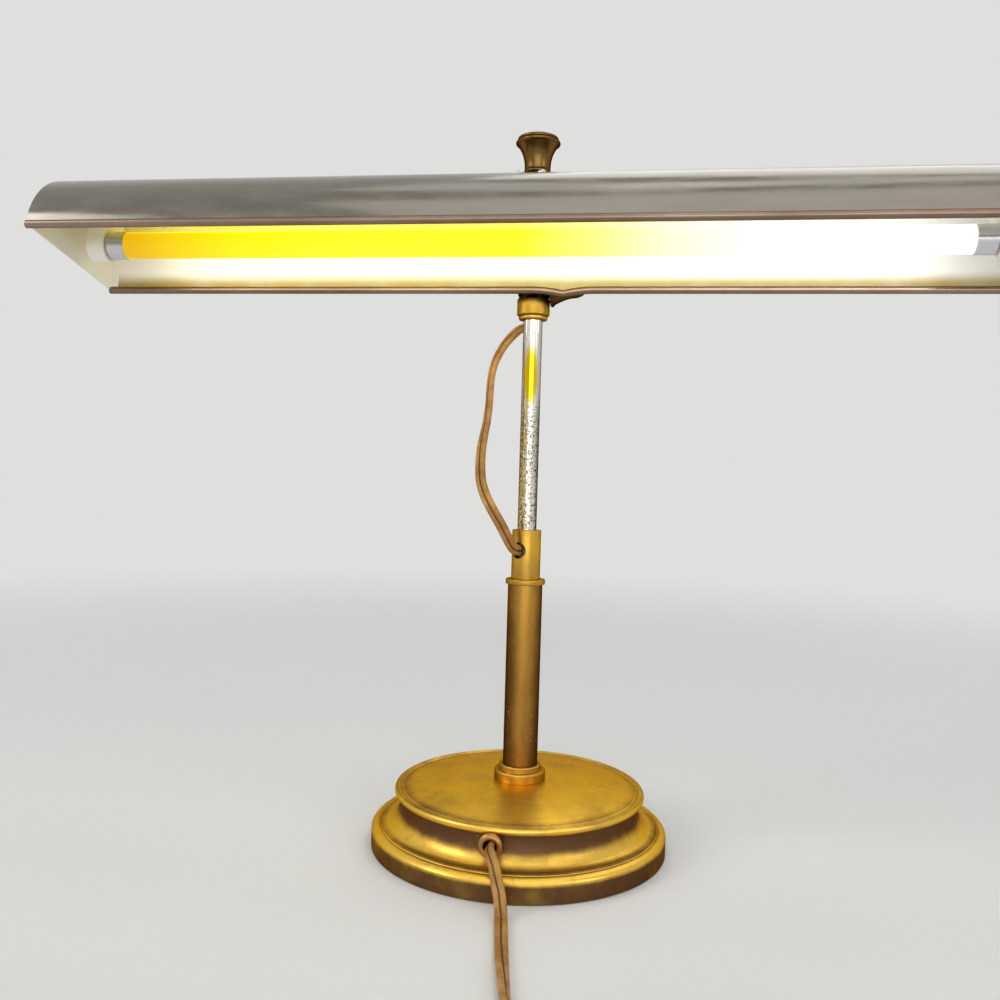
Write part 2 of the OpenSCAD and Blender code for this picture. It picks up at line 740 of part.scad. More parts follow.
module coil_tie() {
  inner_r = coil_r_in - cord_t / 2 - tie_gap;
  outer_r = coil_r_out + cord_t / 2 + tie_gap;
  low = coil_z - cord_w / 2 - tie_gap;
  high = coil_z + coil_layer + cord_w / 2 + tie_gap;
  color("#2a2a2a") translate([coil_centre[0], coil_centre[1], 0]) rotate([0, 0, tie_angle]) difference() {
    translate([inner_r - tie_t, -tie_w / 2, low - tie_t])
      cube([outer_r - inner_r + 2 * tie_t, tie_w, high - low + 2 * tie_t]);
    translate([inner_r, -tie_w / 2 - over, low]) cube([outer_r - inner_r, tie_w + 2 * over, high - low]);
  }
}

// The plug's own frame: x along the cord's end, z up
module at_plug() {
  translate(coil_tail) rotate([0, 0, atan2(coil_out[1], coil_out[0])]) children();
}

module plug_blades() {
  color("#b58c3c") at_plug() for (side = [-1, 1])
    translate([plug_neck_l + plug_l - blade_in, -blade_w / 2, side * blade_pitch / 2 - blade_t / 2])
      cube([blade_in + blade_out, blade_w, blade_t]);
}

module plug_body() {
  corners = [for (y = [-1, 1], z = [-1, 1]) [y * (plug_w / 2 - plug_corner), z * (plug_h / 2 - plug_corner)]];
  color("#4a3418") at_plug() difference() {
    union() {
      hull() for (c = corners)
        translate([plug_neck_l, c[0], c[1]]) along_x(0) cylinder(r = plug_corner, h = plug_l, $fn = 24);
      hull() {
        translate([0, -plug_neck_w / 2, -plug_neck_h / 2]) cube([over, plug_neck_w, plug_neck_h]);
        translate([plug_neck_l, -plug_w * 0.35, -plug_h * 0.35]) cube([over, plug_w * 0.7, plug_h * 0.7]);
      }
    }
    for (side = [-1, 1])
      translate([plug_neck_l + plug_l - blade_in - fit_gap, -blade_w / 2 - fit_gap,
                 side * blade_pitch / 2 - blade_t / 2 - fit_gap])
        cube([blade_in + blade_out, blade_w + 2 * fit_gap, blade_t + 2 * fit_gap]);
  }
}

module loop_cord() {
  color("#a87c38") swept(loop_path, [for (p = loop_route) p[3]], cord_section, loop_facing);
}

module inner_tube() {
  color("#c8c8c4") difference() {
    translate([0, 0, stop_z]) cylinder(r = tube_r, h = tube_top - stop_z);
    translate([0, 0, stop_z - over]) cylinder(r = tube_bore_r, h = tube_top - stop_z + 2 * over);
    translate([0, 0, tube_hole_z]) rotate([0, 90, tube_hole_turn]) cylinder(d = tube_hole_d, h = tube_d);
    ring(tube_d, tube_r - swivel_groove_depth, swivel_groove_z - swivel_groove_h / 2, swivel_groove_h);
  }
}

module stop_ring() {
  color("#8f6f2e") difference() {
    ring(column_bore_r - free_gap, tube_r + fit_gap, stop_z, stop_h);
    translate([tube_r + free_gap, -cord_w / 2, stop_z - over]) cube([column_d, cord_w, stop_h + 2 * over]);
  }
}

module stem_ring() {
  color("#9a7830") ring(stem_ring_d / 2, tube_r + fit_gap, stem_ring_z, stem_ring_h);
}

module swivel_cup() {
  outline = [
    [0, cup_z], [cup_r - cup_edge, cup_z], [cup_r, cup_z + cup_edge], [cup_r, cup_z + cup_foot_h],
    [neck_r, cup_z + cup_foot_h + cup_taper_h], [neck_r, cup_top - cup_shoulder],
    [neck_r - cup_shoulder, cup_top], [0, cup_top]
  ];
  color("#9a7830") difference() {
    union() {
      rotate_extrude() polygon(outline);
      translate([0, 0, pin_z]) along_x(0) cylinder(r = knob_boss_r, h = knob_boss_x);
      translate([0, 0, pin_z]) along_x(-head_boss_x) cylinder(r = head_boss_r, h = head_boss_x);
    }
    translate([0, 0, cup_z - over]) cylinder(r = tube_r + fit_gap, h = tube_in_cup + free_gap + over);
    cylinder(r = wire_hole_r, h = pin_z);
    translate([-slot_w / 2, -slot_front - over, pin_z - slot_down])
      cube([slot_w, slot_front + over + slot_back, slot_down + tongue_r + over]);
    translate([-slot_w / 2, -slot_front - cup_d, pin_z - slot_down]) cube([slot_w, cup_d, cup_h]);
    translate([0, 0, pin_z]) along_x(-cup_d) cylinder(r = pin_r + fit_gap, h = 2 * cup_d);
    translate([0, 0, swivel_groove_z]) rotate([-90, 0, 0]) cylinder(r = swivel_screw_r + fit_gap, h = cup_d);
  }
}

module swivel_screw() {
  tip_y = tube_r - swivel_groove_depth + free_gap;
  tip_r = swivel_groove_h / 2 - free_gap;
  color("#b9b9b5") translate([0, 0, swivel_groove_z]) rotate([-90, 0, 0]) {
    translate([0, 0, tip_y]) cylinder(r = tip_r, h = cup_r - cup_edge - tip_y);
    translate([0, 0, tube_r + free_gap]) cylinder(r = swivel_screw_r, h = cup_r - cup_edge - tube_r - free_gap);
  }
}

module pivot_pin() {
  color("#b08a3a") translate([0, 0, pin_z]) {
    along_x(-head_boss_x) cylinder(r = pin_r, h = head_boss_x + clamp_x + pin_in_knob);
    along_x(-head_boss_x) rotate([180, 0, 0]) rotate_extrude()
      polygon(concat([[0, 0]], arc([0, 0], 1, 0, 90, fillet_steps) * [[pin_head_r, 0], [0, pin_head_h]]));
  }
}

module friction_washers() {
  color("#3a2c1a") translate([0, 0, pin_z]) for (side = [-1, 1])
    along_x(side * (slot_w / 2 - fit_gap - washer_t / 2) - washer_t / 2)
      ring(friction_washer_r, pin_r + fit_gap, 0, washer_t);
}

module post() {
  color("#8f6f2e") ring(post_r, post_bore_r, cup_top, post_h);
}

module switch_housing() {
  outline = [
    [post_bore_r, post_top], [post_r + housing_foot, post_top],
    [housing_r, post_top + housing_flare], [housing_r, housing_top - housing_wall],
    [housing_r - housing_wall, housing_top], [switch_bush_r + fit_gap, housing_top],
    [switch_bush_r + fit_gap, housing_top - housing_wall],
    [housing_r - housing_wall, housing_top - housing_wall],
    [housing_r - housing_wall, post_top + housing_flare + housing_wall],
    [post_bore_r, post_top + housing_wall]
  ];
  color("#8f6f2e") rotate_extrude() polygon(outline);
}

module switch_body() {
  color("#2b2b2b") difference() {
    union() {
      translate([0, 0, switch_z]) cylinder(r = switch_r, h = switch_h);
      translate([0, 0, switch_z + switch_h])
        cylinder(r = switch_bush_r, h = housing_wall + switch_nut_h + knob_lift + switch_bush_up / 2);
    }
    translate([0, 0, housing_top - housing_wall - spindle_in_switch])
      cylinder(r = spindle_r + fit_gap, h = switch_h + housing_h);
  }
}

module switch_nut() {
  color("#c8c8c4") ring(switch_nut_r, switch_bush_r + fit_gap, housing_top, switch_nut_h);
}

module switch_spindle() {
  low = housing_top - housing_wall - spindle_in_switch + free_gap;
  color("#c8c8c4") translate([0, 0, low]) cylinder(r = spindle_r, h = knob_z + spindle_in_knob - low);
}

module switch_knob() {
  neck_r = switch_neck_d / 2;
  rim_r = switch_rim_d / 2;
  foot_bead = 1;
  rim_bead = 1.2;
  neck_z = knob_z + 2 * foot_bead + groove;
  rim_z = knob_z + switch_knob_h - 4 * rim_bead;
  nut_room_r = switch_nut_r + nut_room;
  nut_room_z = housing_top + switch_nut_h + nut_room;
  flare_power = 2.5;
  foot_r = neck_r - groove;
  bush_room_z = nut_room_z + switch_bush_up;
  bush_room_r = switch_bush_r + free_gap;
  hole_r = spindle_r + fit_gap;
  hole_top = knob_z + spindle_in_knob + fit_gap;
  outline = concat(
    [[nut_room_r, knob_z]],
    arc([neck_r - foot_bead, knob_z + foot_bead], foot_bead, -90, 90, fillet_steps),
    [for (i = [0 : flare_steps]) let (s = i / flare_steps)
      [foot_r + (rim_r - rim_bead - foot_r) * pow(s, flare_power), neck_z + (rim_z - neck_z) * s]],
    arc([rim_r - rim_bead, rim_z + rim_bead], rim_bead, -80, 80, fillet_steps),
    arc([rim_r - 2 * rim_bead, rim_z + 3 * rim_bead], rim_bead, -80, 90, fillet_steps),
    [[0, rim_z + 4 * rim_bead], [0, hole_top], [hole_r, hole_top], [hole_r, bush_room_z],
     [bush_room_r, bush_room_z], [bush_room_r, nut_room_z], [nut_room_r, nut_room_z]]
  );
  color("#5a4317") rotate_extrude() polygon(outline);
}

module clamp_knob() {
  grip_r = clamp_grip_d / 2;
  grip_x = clamp_l * clamp_grip_share;
  rim_r = clamp_r - clamp_bead;
  outline = concat(
    [[0, 0]],
    arc([rim_r, clamp_bead], clamp_bead, -90, 80, fillet_steps),
    [for (i = [0 : flare_steps]) let (s = i / flare_steps)
      [grip_r + (rim_r - grip_r) * pow(1 - s, clamp_power), 2 * clamp_bead + (grip_x - 2 * clamp_bead) * s]],
    [for (p = arc([0, 0], 1, 90 / flare_steps, 90, flare_steps - 1))
      [grip_r * p[0], grip_x + (clamp_l - grip_x) * p[1]]]
  );
  color("#4c3810") translate([0, 0, pin_z]) along_x(clamp_x) difference() {
    rotate_extrude() polygon(outline);
    translate([0, 0, -over]) cylinder(r = pin_r + fit_gap, h = pin_in_knob + free_gap + over);
  }
}

// Wedge of the shade's section between two angles, to cut ring sectors
module sector(r, from, to, w) {
  translate([-w / 2, 0, 0]) rotate([90, 0, 90])
    linear_extrude(w) polygon([[0, 0], r * [cos(from), sin(from)], r * [cos(to), sin(to)]]);
}

// Places shapes on the four rivet axes, pointing outwards
module at_rivets() {
  for (side = [-1, 1], angle = rivet_angles)
    translate([side * (saddle_w / 2 - rivet_edge), 0, 0]) rotate([angle - 90, 0, 0]) children();
}

module saddle_plate() {
  color("#8f6f2e") in_shade() difference() {
    intersection() {
      difference() {
        shade_bar(saddle_out_r, saddle_w);
        shade_bar(saddle_r, saddle_w + 2 * over);
      }
      sector(2 * saddle_out_r, saddle_from, saddle_to, saddle_w);
    }
    at_rivets() cylinder(r = rivet_r + fit_gap, h = 2 * saddle_out_r);
  }
}

module tilt_tongue() {
  color("#8f6f2e") in_shade() difference() {
    union() {
      translate([-tongue_t / 2, pin_across, pin_over_lip]) along_x(0) cylinder(r = tongue_r, h = tongue_t);
      translate([-tongue_t / 2, shade_r, pin_over_lip - tongue_half])
        cube([tongue_t, pin_across - shade_r, 2 * tongue_half]);
    }
    shade_bar(saddle_out_r + fit_gap, tongue_t + 2 * over);
    translate([-tongue_t, pin_across, pin_over_lip]) along_x(0) cylinder(r = pin_r + fit_gap, h = 2 * tongue_t);
  }
}

module saddle_rivets() {
  color("#8f6f2e") in_shade() at_rivets() {
    translate([0, 0, shade_r - rivet_seat - rivet_head_in]) cylinder(r = rivet_head_r, h = rivet_head_in);
    translate([0, 0, shade_r - rivet_seat - rivet_head_in])
      cylinder(r = rivet_r, h = saddle_out_r + rivet_seat + rivet_head_in - shade_r + fit_gap);
    translate([0, 0, saddle_out_r + fit_gap]) rotate_extrude()
      polygon(concat([[0, 0]], arc([0, 0], 1, 0, 90, fillet_steps) * [[rivet_head_r, 0], [0, rivet_head_out]]));
  }
}

module shade_shell() {
  color("#b7b9bb") in_shade() difference() {
    union() {
      difference() {
        shade_bar(shade_out_r, shade_l);
        shade_bar(shade_r, shade_l + 2 * over);
        translate([-shade_l, -2 * shade_r, -2 * shade_r]) cube([2 * shade_l, 4 * shade_r, 2 * shade_r]);
      }
      for (side = [-1, 1]) translate([0, side * lip_across, 0]) shade_bar(lip_r, shade_l);
    }
    for (side = [-1, 1]) translate([0, side * lip_across, 0]) shade_bar(lip_bore_r, shade_l + 2 * over);
    at_rivets() cylinder(r = rivet_r + fit_gap, h = 2 * shade_r);
  }
}

// A shallow half-round pan that closes one end of the trough
module shade_end(side) {
  color("#b7b9bb") in_shade() difference() {
    translate([side * (shade_l - end_flange) / 2, 0, 0]) shade_bar(end_r, end_flange);
    translate([side * ((shade_l - end_flange) / 2 - end_t), 0, 0]) shade_bar(end_r - end_flange_t, end_flange);
    translate([-shade_l, -2 * shade_r, -2 * shade_r]) cube([2 * shade_l, 4 * shade_r, 2 * shade_r]);
    for (lip = [-1, 1]) translate([0, lip * lip_across, 0]) shade_bar(lip_r + fit_gap, 2 * shade_l);
  }
}
module shade_end_left() { shade_end(-1); }
module shade_end_right() { shade_end(1); }

module lip_wire(side) {
  color("#8a8a86") in_shade() translate([0, side * lip_across, 0]) shade_bar(lip_wire_r, shade_l);
}
module lip_wire_front() { lip_wire(-1); }
module lip_wire_back() { lip_wire(1); }

module wire_channel() {
  color("#efece2") in_shade() difference() {
    translate([-channel_l / 2, -channel_w / 2, channel_rise])
      cube([channel_l, channel_w, channel_foot - channel_rise]);
    translate([-channel_l, -channel_w / 2 + channel_wall, channel_rise + channel_wall])
      cube([2 * channel_l, channel_w - 2 * channel_wall, shade_r]);
  }
}

module lampholder(side) {
  color("#f2efe6") in_shade() translate([side * (holder_x + holder_t / 2), 0, glass_rise]) difference() {
    union() {
      shade_bar(holder_r, holder_t);
      translate([-holder_t / 2, -holder_r, 0]) cube([holder_t, 2 * holder_r, channel_rise - glass_rise]);
    }
    for (pin = [-1, 1])
      translate([-side * (holder_t - pin_len) / 2, pin * pin_pitch / 2, 0])
        shade_bar(contact_r + contact_gap, pin_len + over);
  }
}
module lampholder_left() { lampholder(-1); }
module lampholder_right() { lampholder(1); }

module glass_tube() {
  l = glass_l - 2 * (cap_face + fit_gap);
  color("#fbf3c4") in_shade() translate([0, 0, glass_rise]) difference() {
    shade_bar(glass_r, l);
    shade_bar(glass_r - glass_wall, l + 2 * over);
  }
}

module tube_cap(side) {
  color("#c9cbcc") in_shade() translate([side * (glass_l - cap_l) / 2, 0, glass_rise]) difference() {
    shade_bar(cap_r, cap_l);
    translate([-side * cap_face, 0, 0]) shade_bar(glass_r + fit_gap, cap_l);
  }
}
module tube_cap_left() { tube_cap(-1); }
module tube_cap_right() { tube_cap(1); }

module tube_pins() {
  color("#d9b45a") in_shade() for (side = [-1, 1], pin = [-1, 1])
    translate([side * (glass_l + pin_len) / 2, pin * pin_pitch / 2, glass_rise]) shade_bar(contact_r, pin_len);
}

base_shell();
base_weight();
base_plate();
base_pad();
ballast();
ballast_screws();
starter();
starter_socket();
nipple();
base_washer();
base_nut();
column_plug();
foot_collar();
column_tube();
column_ring();
sleeve();
friction_bush();
cord_bushing();
bushing_nut();
mains_cord();
mains_coil();
coil_tie();
plug_body();
plug_blades();
loop_cord();
inner_tube();
stop_ring();
stem_ring();
swivel_cup();
swivel_screw();
pivot_pin();
friction_washers();
post();
switch_housing();
switch_body();
switch_nut();
clamp_knob();
switch_knob();
switch_spindle();
saddle_plate();
tilt_tongue();
saddle_rivets();
shade_shell();
shade_end_left();
shade_end_right();
lip_wire_front();
lip_wire_back();
wire_channel();
lampholder_left();
lampholder_right();
glass_tube();
tube_cap_left();
tube_cap_right();
tube_pins();
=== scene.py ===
import math

import bmesh
import bpy
from mathutils import Matrix, Vector


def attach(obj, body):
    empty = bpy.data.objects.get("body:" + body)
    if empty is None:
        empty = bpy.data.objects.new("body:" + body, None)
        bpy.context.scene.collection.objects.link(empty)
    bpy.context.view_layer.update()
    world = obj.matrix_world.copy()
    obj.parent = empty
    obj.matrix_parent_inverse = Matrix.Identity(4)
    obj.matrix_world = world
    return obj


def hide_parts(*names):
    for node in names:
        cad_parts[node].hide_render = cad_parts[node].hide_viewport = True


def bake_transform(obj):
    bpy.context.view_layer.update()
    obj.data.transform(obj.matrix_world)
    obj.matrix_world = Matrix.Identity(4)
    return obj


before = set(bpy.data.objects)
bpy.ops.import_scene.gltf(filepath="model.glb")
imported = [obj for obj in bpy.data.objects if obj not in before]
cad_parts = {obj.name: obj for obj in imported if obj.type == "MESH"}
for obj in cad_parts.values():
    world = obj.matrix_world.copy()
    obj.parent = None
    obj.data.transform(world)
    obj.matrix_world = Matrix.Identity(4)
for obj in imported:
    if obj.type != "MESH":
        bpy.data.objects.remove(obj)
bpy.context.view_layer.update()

# The studio: a pale matt paper sweep that lies under the lamp and rises behind it in one bend,
# with soft boxes around it, so that no horizon line or hard shadow shows.
MM = 0.001
paper_half_width = 6.0
paper_front = -4.0
paper_back = 2.2
paper_bend = 1.2
paper_rise = 6.0
bend_steps = 16
bpy.ops.object.select_all(action="DESELECT")
bpy.ops.mesh.primitive_plane_add(size=2)
paper = bpy.context.object
paper.name = "paper_sweep"
for corner in paper.data.vertices:
    corner.co.x *= paper_half_width
    corner.co.y = paper_back if corner.co.y > 0 else paper_front
bpy.ops.object.mode_set(mode="EDIT")
bpy.ops.mesh.select_all(action="DESELECT")
bpy.ops.object.mode_set(mode="OBJECT")
for edge in paper.data.edges:
    edge.select = all(paper.data.vertices[i].co.y > 0 for i in edge.vertices)
bpy.ops.object.mode_set(mode="EDIT")
bpy.ops.mesh.select_mode(type="EDGE")
for step in range(bend_steps):
    a0 = math.pi / 2 * step / bend_steps
    a1 = math.pi / 2 * (step + 1) / bend_steps
    forth = paper_bend * (math.sin(a1) - math.sin(a0))
    up = paper_bend * (math.cos(a0) - math.cos(a1))
    bpy.ops.mesh.extrude_region_move(TRANSFORM_OT_translate={"value": (0, forth, up)})
bpy.ops.mesh.extrude_region_move(TRANSFORM_OT_translate={"value": (0, 0, paper_rise)})
bpy.ops.mesh.select_all(action="SELECT")
bpy.ops.mesh.normals_make_consistent(inside=False)
bpy.ops.object.mode_set(mode="OBJECT")
bpy.ops.object.shade_smooth()


def add(tree, kind, **settings):
    """A new node in a tree, with its settings."""
    made = tree.nodes.new(kind)
    for key, value in settings.items():
        setattr(made, key, value)
    return made


def fill(made, **values):
    """Sets a node's input values by name, with spaces as underscores."""
    for key, value in values.items():
        made.inputs[key.replace("_", " ")].default_value = value
    return made


def feed(tree, value, socket):
    """Gives a socket a number, a colour of three numbers, or another node's output."""
    if isinstance(value, (int, float)):
        socket.default_value = value
    elif isinstance(value, tuple):
        socket.default_value = (*value, 1)
    else:
        tree.links.new(value, socket)


def new_material(name, **constants):
    """A material with its Principled shader's fixed values set, and the parts that its nodes use."""
    made = bpy.data.materials.new(name)
    made.use_nodes = True
    tree = made.node_tree
    shader = fill(tree.nodes["Principled BSDF"], **constants)
    place = add(tree, "ShaderNodeTexCoord").outputs["Object"]
    return made, tree, shader, place


def noise(tree, place, scale, detail=4.0, roughness=0.5, distortion=0.0):
    """A noise value on a place."""
    made = fill(add(tree, "ShaderNodeTexNoise"), Scale=scale, Detail=detail, Roughness=roughness,
                Distortion=distortion)
    tree.links.new(place, made.inputs["Vector"])
    return made.outputs["Fac"]


def remap(tree, value, low, high, to_low=0.0, to_high=1.0):
    """A value's range stretched smoothly to another range."""
    made = add(tree, "ShaderNodeMapRange", interpolation_type="SMOOTHSTEP")
    for socket, number in enumerate((low, high, to_low, to_high), start=1):
        made.inputs[socket].default_value = number
    tree.links.new(value, made.inputs["Value"])
    return made.outputs["Result"]


def tint(tree, share, under, over):
    """A mix of two colours by a share. A colour is three numbers or another node's output."""
    made = add(tree, "ShaderNodeMix", data_type="RGBA")
    feed(tree, share, made.inputs[0])
    feed(tree, under, made.inputs[6])
    feed(tree, over, made.inputs[7])
    return made.outputs[2]


def sums(tree, how, a, b):
    """Two values put together. Each is a number or another node's output."""
    made = add(tree, "ShaderNodeMath", operation=how)
    feed(tree, a, made.inputs[0])
    feed(tree, b, made.inputs[1])
    return made.outputs[0]


def parts_of(tree, place):
    """A place's x, y and z."""
    made = add(tree, "ShaderNodeSeparateXYZ")
    tree.links.new(place, made.inputs[0])
    return made.outputs


def paint(tree, shader, colour):
    """Gives a shader its colour from another node."""
    tree.links.new(colour, shader.inputs["Base Color"])


def background_rays(tree):
    """A mask of the rays that show the backdrop: the camera's own, and those of gloss and glass."""
    rays = add(tree, "ShaderNodeLightPath").outputs
    return sums(tree, "MAXIMUM", rays["Is Camera Ray"],
                sums(tree, "MAXIMUM", rays["Is Glossy Ray"], rays["Is Transmission Ray"]))


paper_tone = (0.74, 0.74, 0.73)
paper_near = 0.45
paper_far = 1.9
ambient_strength = 0.38
paper_look, tree, shader, place = new_material("studio_paper", Roughness=0.9, Specular_IOR_Level=0.2)
grain = noise(tree, place, 900, 3)
paint(tree, shader, tint(tree, grain, (0.78, 0.78, 0.77), (0.82, 0.82, 0.81)))
far = add(tree, "ShaderNodeVectorMath", operation="LENGTH")
tree.links.new(place, far.inputs[0])
seen = background_rays(tree)
backdrop_glow = fill(add(tree, "ShaderNodeEmission"), Color=(*paper_tone, 1), Strength=1.0)
paper_mix = add(tree, "ShaderNodeMixShader")
fading = remap(tree, far.outputs["Value"], paper_near, paper_far)
tree.links.new(sums(tree, "MULTIPLY", seen, fading), paper_mix.inputs[0])
tree.links.new(shader.outputs[0], paper_mix.inputs[1])
tree.links.new(backdrop_glow.outputs[0], paper_mix.inputs[2])
tree.links.new(paper_mix.outputs[0], tree.nodes["Material Output"].inputs["Surface"])
paper.data.materials.append(paper_look)

world = bpy.context.scene.world or bpy.data.worlds.new("studio")
bpy.context.scene.world = world
world.use_nodes = True
tree = world.node_tree
ambient = fill(tree.nodes["Background"], Color=(1, 1, 1, 1), Strength=ambient_strength)
horizon = fill(add(tree, "ShaderNodeBackground"), Color=(*paper_tone, 1), Strength=1.0)
world_mix = add(tree, "ShaderNodeMixShader")
tree.links.new(background_rays(tree), world_mix.inputs[0])
tree.links.new(ambient.outputs[0], world_mix.inputs[1])
tree.links.new(horizon.outputs[0], world_mix.inputs[2])
tree.links.new(world_mix.outputs[0], tree.nodes["World Output"].inputs["Surface"])
soft_boxes = [
    ("key_box", (-2.1, -1.2, 1.7), 1.2, 1.2, 18),
    ("fill_box", (1.9, -1.2, 1.2), 1.0, 1.0, 6),
    ("back_box", (0.5, 1.5, 2.3), 1.8, 1.4, 10),
    ("front_box", (0.4, -3.2, 0.8), 3.0, 1.6, 30),
    ("top_front_box", (0.3, -1.2, 2.2), 2.2, 1.5, 8),
    ("left_top_box", (-0.2, 0.1, 2.4), 0.6, 1.0, 1.4),
    ("right_top_box", (0.45, 0.1, 2.4), 0.4, 1.0, 1.3),
]
lit_centre = Vector((0, -0.02, 0.2))
for name, where, width, height, power in soft_boxes:
    bpy.ops.object.light_add(type="AREA", location=where)
    box_light = bpy.context.object
    box_light.name = name
    box_light.data.shape = "RECTANGLE"
    box_light.data.size = width
    box_light.data.size_y = height
    box_light.data.energy = power
    aim = lit_centre - box_light.location
    box_light.rotation_euler = aim.to_track_quat("-Z", "Y").to_euler()

# The camera stands low over the table, a little right of the lamp's middle, and is turned and rolled
# as the photograph was taken.
camera_distance = 0.616
camera_height = 0.2368
camera_azimuth = math.radians(6.8)
camera_left = math.radians(1.673)
camera_down = math.radians(1.335)
camera_roll = math.radians(1.667)
camera_lens = 34.2
camera_sensor = 36
heading_angle = camera_azimuth + camera_left
ahead = Vector((-math.sin(heading_angle), math.cos(heading_angle), 0))
right = Vector((math.cos(heading_angle), math.sin(heading_angle), 0))
ahead = ahead * math.cos(camera_down) - Vector((0, 0, math.sin(camera_down)))
up = right.cross(ahead)
rolled_right = right * math.cos(camera_roll) + up * math.sin(camera_roll)
rolled_up = up * math.cos(camera_roll) - right * math.sin(camera_roll)
bpy.ops.object.camera_add()
camera = bpy.context.object
camera.data.lens = camera_lens
camera.data.sensor_width = camera_sensor
camera.data.clip_start = 0.01
turn = Matrix((rolled_right, rolled_up, -ahead)).transposed()
stand = Vector((math.sin(camera_azimuth), -math.cos(camera_azimuth), 0)) * camera_distance
camera.matrix_world = Matrix.Translation(stand + Vector((0, 0, camera_height))) @ turn.to_4x4()
bpy.context.scene.camera = camera
bpy.context.scene.view_settings.view_transform = "Standard"

# The felt pad: a disc of pressed green felt, cut with a soft edge and glued under the bottom plate,
# so that the base doesn't scratch the table.
pad_radius = 88.2
pad_thickness = 1.5
crease_angle = math.radians(40)


def rounded(corners, steps=5):
    """An outline with its corners rounded. A corner is its radius, its height and its rounding."""
    outline = []
    for i, (r, z, rounding) in enumerate(corners):
        here = Vector((r, z))
        if not rounding:
            outline.append(here)
            continue
        before = Vector(corners[i - 1][:2]) - here
        after = Vector(corners[(i + 1) % len(corners)][:2]) - here
        reach = rounding / math.tan(before.angle(after) / 2)
        start = here + before.normalized() * reach
        end = here + after.normalized() * reach
        for k in range(steps + 1):
            t = k / steps
            outline.append(start * (1 - t) ** 2 + here * 2 * t * (1 - t) + end * t * t)
    return outline


def chain(name, points):
    """A new object with one vertex pulled out into a chain of edges through points in metres."""
    bpy.ops.object.select_all(action="DESELECT")
    bpy.ops.mesh.primitive_plane_add(size=MM, location=points[0])
    bpy.ops.object.transform_apply(location=True, rotation=False, scale=False)
    made = bpy.context.object
    made.name = name
    bpy.ops.object.mode_set(mode="EDIT")
    bpy.ops.mesh.select_mode(type="VERT")
    bpy.ops.mesh.merge(type="CENTER")
    for before, after in zip(points, points[1:]):
        bpy.ops.mesh.extrude_region_move(TRANSFORM_OT_translate={"value": after - before})
    bpy.ops.mesh.select_all(action="SELECT")
    return made


def turned(name, outline, steps=96):
    """A piece turned on a lathe: an outline of radius and height in millimetres, spun round Z."""
    points = [Vector((p[0], 0, p[1])) * MM for p in outline]
    made = chain(name, points + points[:1])
    bpy.ops.mesh.spin(steps=steps, angle=2 * math.pi, center=(0, 0, 0), axis=(0, 0, 1))
    bpy.ops.mesh.select_all(action="SELECT")
    bpy.ops.mesh.remove_doubles(threshold=0.002 * MM)
    bpy.ops.mesh.normals_make_consistent(inside=False)
    bpy.ops.object.mode_set(mode="OBJECT")
    bpy.ops.object.shade_smooth_by_angle(angle=crease_angle)
    return made


def bump(tree, shader, height, distance):
    """Puts a height on a shader's normal, with its full depth in metres."""
    made = fill(add(tree, "ShaderNodeBump"), Strength=1.0, Distance=distance)
    tree.links.new(height, made.inputs["Height"])
    tree.links.new(made.outputs["Normal"], shader.inputs["Normal"])


felt_look, tree, shader, place = new_material("felt", Roughness=0.95, Sheen_Weight=0.4,
                                              Specular_IOR_Level=0.1)
fuzz = noise(tree, place, 1800, 6, 0.7)
matted = noise(tree, place, 60, 4)
colour = tint(tree, sums(tree, "MULTIPLY", fuzz, matted), (0.022, 0.04, 0.02), (0.12, 0.17, 0.09))
paint(tree, shader, colour)
bump(tree, shader, fuzz, 0.0004)
pad_outline = rounded([(0, 0, 0), (pad_radius, 0, 0.5), (pad_radius, pad_thickness, 0.3),
                       (0, pad_thickness, 0)])
felt_pad = turned("felt_disc", pad_outline)
felt_pad.data.materials.append(felt_look)
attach(felt_pad, "base")
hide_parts("base_pad")

# The bottom plate and its fixings: a zinc plated steel disc pressed into the base's rim, with the
# steel screws, washer and nuts that hold the pieces inside.


def effect(name, inputs, outputs):
    """A shader node group: its tree, and the sockets that its nodes read and feed."""
    tree = bpy.data.node_groups.new(name, "ShaderNodeTree")
    for label, kind in inputs:
        tree.interface.new_socket(name=label, in_out="INPUT", socket_type="NodeSocket" + kind)
    for label, kind in outputs:
        tree.interface.new_socket(name=label, in_out="OUTPUT", socket_type="NodeSocket" + kind)
    return tree, add(tree, "NodeGroupInput").outputs, add(tree, "NodeGroupOutput").inputs


def use(tree, group, place, **values):
    """An effect placed in a material with its own values."""
    made = add(tree, "ShaderNodeGroup", node_tree=group)
    tree.links.new(place, made.inputs["Place"])
    for key, value in values.items():
        feed(tree, value, made.inputs[key.replace("_", " ")])
    return made.outputs


def stretched(tree, place, scale):
    """A place scaled along its axes, to draw a pattern out."""
    made = fill(add(tree, "ShaderNodeMapping"), Scale=scale)
    tree.links.new(place, made.inputs["Vector"])
    return made.outputs[0]


